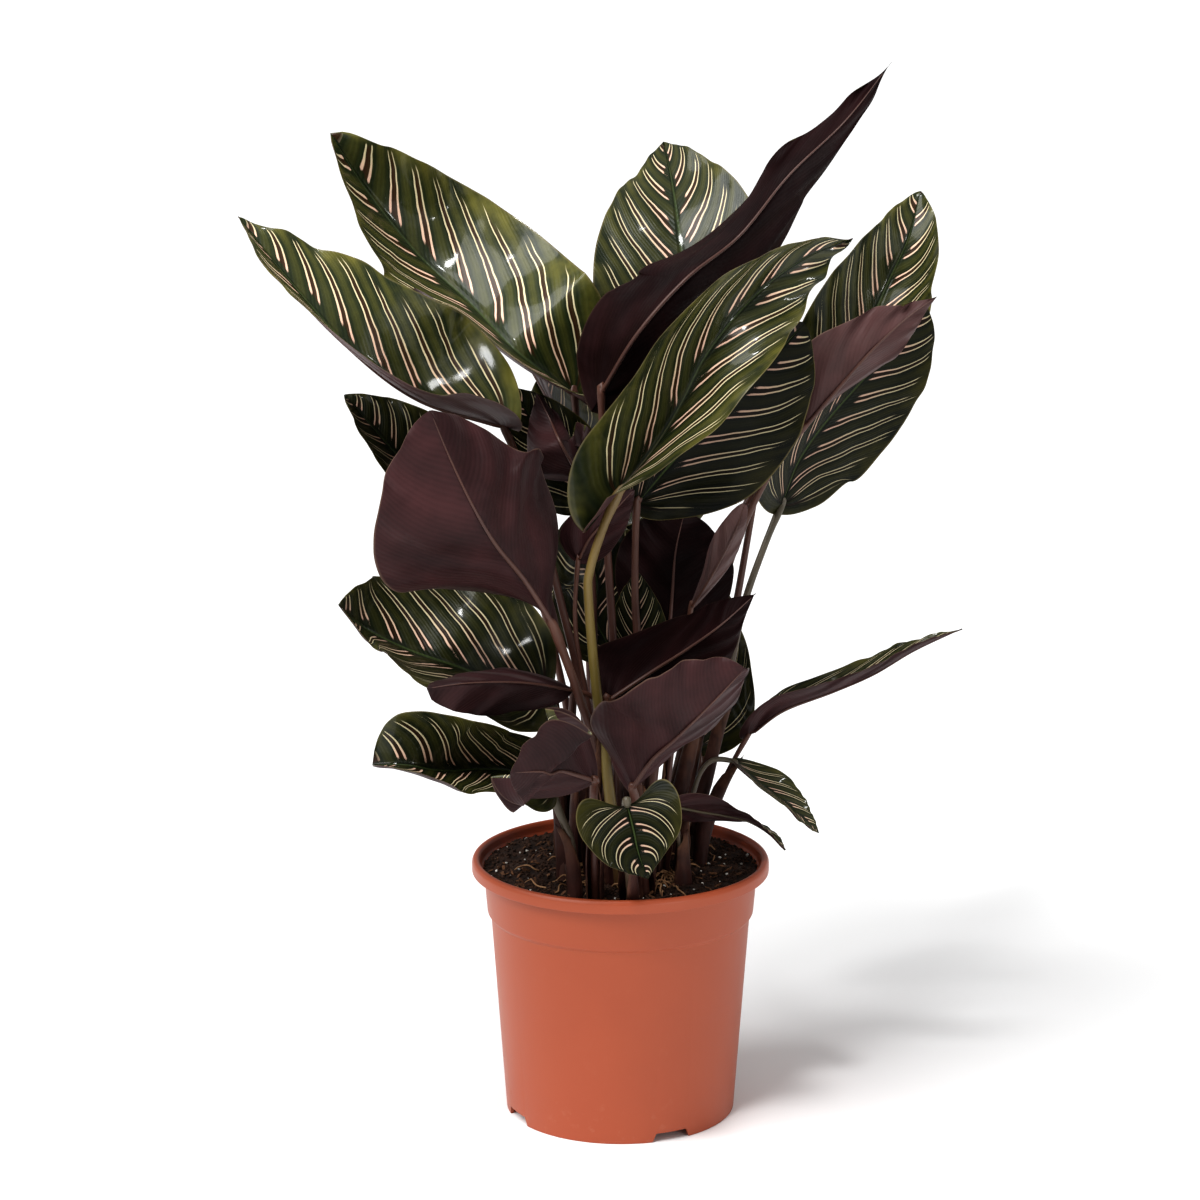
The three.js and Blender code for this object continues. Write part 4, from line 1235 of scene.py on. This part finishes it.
# %% Underside
def maroon_side(name, sheen, shine):
    """The matt underside: maroon with broad soft pleats, painted shade along them, and fine fibres."""
    made, tree, shader = finish(name, Sheen_Weight=sheen, Sheen_Roughness=0.45, Specular_IOR_Level=shine)
    shader.inputs["Sheen Tint"].default_value = (0.85, 0.6, 0.6, 1.0)
    a, turn = side_veins(tree)
    cloud = grain(tree, 30.0, 4.0)
    fibres = (turn * 30.0).sin() * 0.5 + 0.5
    wide = grain(tree, 16.0, 2.0)
    broad = (turn * math.pi + wide * 9.0).cos() * 0.5 + 0.5
    maroon = blended(tree, cloud.smooth(0.3, 0.7), rgb(38, 17, 18), rgb(62, 33, 34))
    # Painted shade: the maroon is darker along every pleat band, as the folds fall into shade.
    maroon = blended(tree, broad * 0.32, maroon, rgb(34, 15, 16))
    maroon = blended(tree, fibres * 0.07, maroon, rgb(92, 58, 60))
    maroon = blended(tree, a.smooth(0.97, 0.995) * 0.6, maroon, rgb(104, 82, 68))
    # Painted light and shade: shaded leaves get a darker maroon, sunlit ones a paler, greyer one.
    tone = attribute(tree, "tone")
    maroon = blended(tree, (tone - 1.0).clamp() * 0.6, maroon * tone.math("MINIMUM", 1.3), rgb(100, 80, 76))
    roughness = (0.5 + cloud * 0.14).clamp(0.1, 0.9)
    surface(tree, shader, maroon, roughness, broad * 1.1 + fibres * 0.04 + cloud * 0.5, 0.002)
    return made


underside = maroon_side("maroon_underside", 0.06, 0.2)
shaded_underside = maroon_side("shaded_underside", 0.0, 0.06)
print("underside nodes:", len(underside.node_tree.nodes))

# %% [markdown]
# ### Stalk finishes
# A stalk isn't one colour. It is darkest at its foot, paler in the middle and again at the neck,
# and beyond the neck it is the midrib. `up_stalk` is 0 at the foot and 1 where the blade begins,
# so four colours follow it, with streaks that run up the stalk.

# %% Finishes of stalks
def stalk_finish(name, foot, middle_colour, neck, rib_colour):
    made, tree, shader = finish(name, Specular_IOR_Level=0.45)
    up = attribute(tree, "up_stalk")
    streak = grain(tree, 420.0, 3.0, (1, 1, 0.08))
    cloud = grain(tree, 60.0, 3.0)
    colour = blended(tree, up.smooth(0.02, 0.45), foot, middle_colour)
    colour = blended(tree, up.smooth(0.55, 0.97), colour, neck)
    colour = blended(tree, up.smooth(1.0, 1.02), colour, rib_colour)
    colour = blended(tree, streak * 0.35, colour, rgb(70, 34, 30))
    colour = blended(tree, cloud * 0.25, colour, rgb(120, 84, 62))
    roughness = (0.36 + cloud * 0.2).clamp(0.1, 0.9)
    surface(tree, shader, colour, roughness, streak + cloud * 0.5, 0.0002)
    return made


red_stalk = stalk_finish(
    "red_brown_stalk", rgb(52, 27, 22), rgb(58, 30, 26), rgb(76, 46, 36), rgb(62, 38, 34)
)
green_stalk = stalk_finish(
    "olive_stalk", rgb(84, 62, 36), rgb(124, 112, 52), rgb(112, 96, 50), rgb(70, 70, 42)
)
grey_stalk = stalk_finish(
    "grey_green_stalk", rgb(66, 50, 38), rgb(72, 70, 56), rgb(80, 82, 68), rgb(60, 64, 44)
)
print("stalk finishes:", red_stalk.name, green_stalk.name, grey_stalk.name)

# %% [markdown]
# ### Every leaf in its place
# Each leaf takes its numbers from the table and its looks from three short lists. First its blade
# grows along the midrib, then its stalk follows the path up to the blade and on under the midrib.
# Small leaves get a coarser grid, so that all faces are of about one size.

# %% Which finish each leaf gets
STALK_LOOKS = {
    "front_striped": green_stalk,
    "heart": grey_stalk,
    "right_low": grey_stalk,
    "low_left": grey_stalk,
    "small_right": grey_stalk,
    "droop_right": grey_stalk,
}

# Painted light and shade: leaves that stand in shade get darker colours, sunlit ones paler.
PAINTED_LIGHT_AND_SHADE = {
    "top_left": 1.6, "far_left": 1.5, "right_top": 1.15, "top_centre": 1.05, "front_striped": 1.0,
    "right_purple": 1.5, "grey_fold": 1.9, "front_purple": 1.0, "centre_purple": 1.0,
    "left_mid": 0.65, "left_small": 0.6, "low_left": 0.65, "heart": 0.3, "small_right": 0.8,
    "left_under": 0.7, "low_purple": 0.75, "arch": 0.8, "neck_purple": 0.8,
    "tall_dark": 0.35, "right_low": 0.3, "mid_right_striped": 0.16, "centre_dark": 0.4,
    "inner_left": 0.4, "inner_low": 0.3, "centre_striped": 0.35, "dark_mass": 0.25, "back_right": 0.5,
}
USUAL_PAINTED_LIGHT = 0.8
SHADED = (
    "mid_right_striped", "right_low", "heart", "tall_dark",
    "dark_mass", "centre_dark", "inner_low", "inner_left",
)
print("shaded leaves:", len(SHADED))

# %% Angles and sizes of a leaf
SMALL_LEAF = 50


def upper_side_at(leaf, forward, s):
    """The direction that the upper side looks in, at s along the midrib."""
    look = Vector((0, 0, 1)) if leaf["face"] == "up" else Vector((0, -1, 0))
    look = (look - forward * look.dot(forward)).normalized()
    turn = math.radians(leaf["turn"][0] * (1 - s) + leaf["turn"][-1] * s)
    return look * math.cos(turn) + forward.cross(look) * math.sin(turn)


def three(values):
    """Base, middle and tip angles in radians."""
    values = values if len(values) > 2 else (values[0], (values[0] + values[1]) / 2, values[1])
    return tuple(math.radians(v) for v in values[:3])


def pairs_on(leaf):
    """Larger leaves have more pairs of lines."""
    return 6.4 if leaf["width"] < 64 else 7.8 if leaf["width"] < 80 else 9.2


def girth_of(name, leaf):
    """How stout the stalk is, where 1 is usual."""
    if leaf["width"] < SMALL_LEAF:
        return 0.62
    return 1.2 if name in ("front_striped", "front_purple") else 1.0


# %% Values of a blade
BLADE_THICKNESS = 0.8


def blade_values(number, name, leaf):
    """What the blade tree needs for this leaf, in metres and radians."""
    small = leaf["width"] < SMALL_LEAF
    shows_underside = 90 < abs(leaf["turn"][0]) < 270
    return {
        "Width": leaf["width"] * MM,
        "Belly": leaf["belly"],
        "Taper": leaf["taper"],
        "Lobe": float(leaf["lobe"]),
        "Notch": float(leaf["notch"]),
        "Turn": three(leaf["turn"]),
        "Left Fold": three(leaf["left"]),
        "Right Fold": three(leaf["right"]),
        "Curl": (math.radians(leaf["left"][3]), math.radians(leaf["right"][3]), 0.0),
        "Ripple": (leaf["wave"][0] * MM, leaf["wave"][1] * MM, float(leaf["waves"])),
        "Ripple Start": (float(leaf["start"][0]), float(leaf["start"][1]), 0.0),
        "Faces Up": 1.0 if leaf["face"] == "up" else 0.0,
        "Veins": pairs_on(leaf),
        "Rib Depth": 0.006 if shows_underside else 0.004,
        "Number": float(number),
        "Tone": PAINTED_LIGHT_AND_SHADE.get(name, USUAL_PAINTED_LIGHT),
        "Thickness": BLADE_THICKNESS * MM,
        "Rows": 80 if small else 150,
        "Columns": 41 if small else 73,
        "Upper Side": shaded_upper_side if name in SHADED else upper_side,
        "Underside": shaded_underside if name in SHADED else underside,
    }


print("values of a blade:", len(blade_values(0, "heart", LEAVES["heart"])))

# %% Path and values of a stalk
RIB_POINTS = 64
STALK_POINTS = 90
STALK_START = 125
STRAIGHT_UP_TO = 146
MIDRIB_RADIUS = 1.02
STALK_FOOT = 3.0
STALK_NECK = 1.9
JOINT_SWELLING = 0.5
MIDRIB_TIP = 0.15


def stalk_path(leaf, rib):
    """The path from inside the compost to the blade's base, and its length."""
    base = Vector(leaf["rib"][0])
    onward = (rib[1] - rib[0]).normalized()
    root = leaf["stalk"][0]
    knots = [(*root, STALK_START), (*root, STRAIGHT_UP_TO), *leaf["stalk"][1:], base - onward * 2.2, base]
    return through(knots, STALK_POINTS)


def under_midrib(leaf, rib):
    """Points just under the midrib, up to a little before its tip."""
    spots = []
    for i in range(1, RIB_POINTS - 2):
        s = i / (RIB_POINTS - 1)
        onward = (rib[i + 1] - rib[i - 1]).normalized()
        thin = MIDRIB_RADIUS * MM * (1 - s) ** 0.8
        spots.append(rib[i] - upper_side_at(leaf, onward, s) * (thin * 0.75 + 0.2 * MM))
    return spots


def stalk_values(name, leaf, length):
    """What the stalk tree needs for this leaf, in metres."""
    girth = girth_of(name, leaf)
    return {
        "Stalk Length": length,
        "Foot Radius": STALK_FOOT * girth * MM,
        "Neck Radius": STALK_NECK * girth * MM,
        "Joint Swelling": JOINT_SWELLING * girth * MM,
        "Tip Radius": MIDRIB_TIP * MM,
        "Sides": 12,
        "Finish": STALK_LOOKS.get(name, red_stalk),
    }


print("points along a stalk and its midrib:", STALK_POINTS, RIB_POINTS)

# %% Grow every leaf
stalk_paths = {}
for number, (name, leaf) in enumerate(LEAVES.items()):
    rib = through(leaf["rib"], RIB_POINTS)[0]
    piece = path_object("leaf_" + name, rib)
    grow(piece, blade, blade_values(number, name, leaf))
    piece.data.shade_smooth()
    way, stalk_length = stalk_path(leaf, rib)
    stalk_paths[name] = way
    stem = path_object("stalk_" + name, way + under_midrib(leaf, rib))
    grow(stem, stalk, stalk_values(name, leaf, stalk_length))
    stem.data.shade_smooth()
    if leaf["whole"]:
        finish_piece(piece, "leaf", name + "_leaf")
        finish_piece(stem, "stalk")
    else:
        finish_piece(piece, "leaf", name + "_blade")
        finish_piece(stem, "stalk", name + "_stalk")

# %% [markdown]
# ### Sheaths at the foot
# The lower part of every stalk sits in a dry, brown sheath: a narrow strip that is rolled round the
# stalk and ends in a loose tip. The blade tree makes it too, with a small width and a strong curl,
# and a papery finish on both sides.

# %% A papery finish
papery, tree, shader = finish("papery_sheath", Specular_IOR_Level=0.25)
along = attribute(tree, "along")
a = attribute(tree, "away").math("ABSOLUTE")
cloud = grain(tree, 120.0, 4.0)
strand = grain(tree, 300.0, 3.0, (1, 1, 0.06))
brown = blended(tree, cloud, rgb(34, 17, 14), rgb(70, 36, 28))
edge = along.smooth(0.45, 1.0) * 0.5 + a.smooth(0.8, 1.0) * 0.35
brown = blended(tree, edge * cloud.smooth(0.3, 0.6), brown, rgb(112, 80, 58))
brown = blended(tree, strand.smooth(0.5, 0.7) * 0.4, brown, rgb(28, 15, 12))
surface(tree, shader, brown, (0.55 + cloud * 0.2).clamp(0.1, 0.9), strand + cloud * 0.6, 0.0006)
print(papery.name, "nodes:", len(tree.nodes))

# %% Roll a sheath round every stalk
chosen = random.Random(5)
TALL_SHEATHS = ("left_mid", "far_left", "front_purple", "left_small", "right_purple", "right_low")
SHEATH_FOOT = 0.128
SHEATH_TOPS = (0.185, 0.235)
TALLER_BY = 0.05
SHEATH_KNOTS = 5
for number, (name, way) in enumerate(stalk_paths.items()):
    spin = chosen.uniform(0, 2 * math.pi)
    top = chosen.uniform(*SHEATH_TOPS) + (TALLER_BY if name in TALL_SHEATHS else 0.0)
    top = min(top, way[-1].z - 0.012)
    covered = [p for p in way if SHEATH_FOOT < p.z < top]
    outwards = Vector((math.cos(spin), math.sin(spin), 0))
    knots = []
    for i in range(SHEATH_KNOTS):
        share = i / (SHEATH_KNOTS - 1)
        loose = 0.0042 + 0.006 * max(0.0, share - 0.5) ** 2
        knots.append((covered[round(share * (len(covered) - 1))] + outwards * loose) / MM)
    piece = path_object("sheath_" + name, through(knots, 20)[0])
    values = {
        "Width": chosen.uniform(0.019, 0.027),
        "Belly": 0.3,
        "Taper": 0.7,
        "Lobe": 0.0,
        "Notch": 0.0,
        "Turn": (spin - math.pi / 2,) * 3,
        "Left Fold": (0.3, 0.2, 0.0),
        "Right Fold": (0.3, 0.2, 0.0),
        "Curl": (chosen.uniform(1.6, 2.2), chosen.uniform(1.6, 2.2), 0.0),
        "Ripple": (0.0006, 0.0009, 2.0),
        "Ripple Start": (0.0, 2.0, 0.0),
        "Faces Up": 0.0,
        "Veins": 4.0,
        "Rib Depth": 0.004,
        "Number": 40.0 + number,
        "Tone": 1.0,
        "Thickness": 0.0005,
        "Rows": 32,
        "Columns": 25,
        "Upper Side": papery,
        "Underside": papery,
    }
    grow(piece, blade, values)
    piece.data.shade_smooth()
    finish_piece(piece, "stalk")
print("sheaths:", len(stalk_paths))

# %% [markdown]
# ### Fibres on the compost
# Between the stalks the compost is matted with dry, light brown fibres. All of them are paths in
# one piece; the stalk tree sweeps a thread along each path.

# %% Dry fibres
FIBRES = 150
FIBRE_POINTS = 14
SOIL_REACH = 71
points, edges = [], []
for i in range(FIBRES):
    turn = chosen.uniform(0, 2 * math.pi)
    away = chosen.uniform(4, 34) if i % 3 else chosen.uniform(20, 62)
    middle_spot = Vector((6, -14, 0)) if i % 3 else Vector((0, 0, 0))
    spot = middle_spot + Vector((math.cos(turn), math.sin(turn), 0)) * away
    heading = chosen.uniform(0, 2 * math.pi)
    knots = []
    for k in range(5):
        heading += chosen.uniform(-0.8, 0.8)
        spot = spot + Vector((math.cos(heading), math.sin(heading), 0)) * chosen.uniform(2.4, 5.2)
        raised = 0.5 + chosen.uniform(0.2, 4.5) * math.sin(math.pi * k / 4)
        knots.append((spot.x, spot.y, compost_height(spot.x, spot.y) + raised))
    if max(math.hypot(knot[0], knot[1]) for knot in knots) > SOIL_REACH:
        continue
    edges += [(len(points) + k, len(points) + k + 1) for k in range(FIBRE_POINTS - 1)]
    points += through(knots, FIBRE_POINTS)[0]
fibres = object_from("dry_fibres", points, edges=edges)
values = {
    "Stalk Length": 0.015,
    "Foot Radius": 0.0004,
    "Neck Radius": 0.0004,
    "Joint Swelling": 0.0,
    "Tip Radius": 0.00012,
    "Sides": 5,
    "Finish": fibre_finish,
}
grow(fibres, stalk, values)
finish_piece(fibres, "soil")
print("fibre faces:", len(fibres.data.polygons))
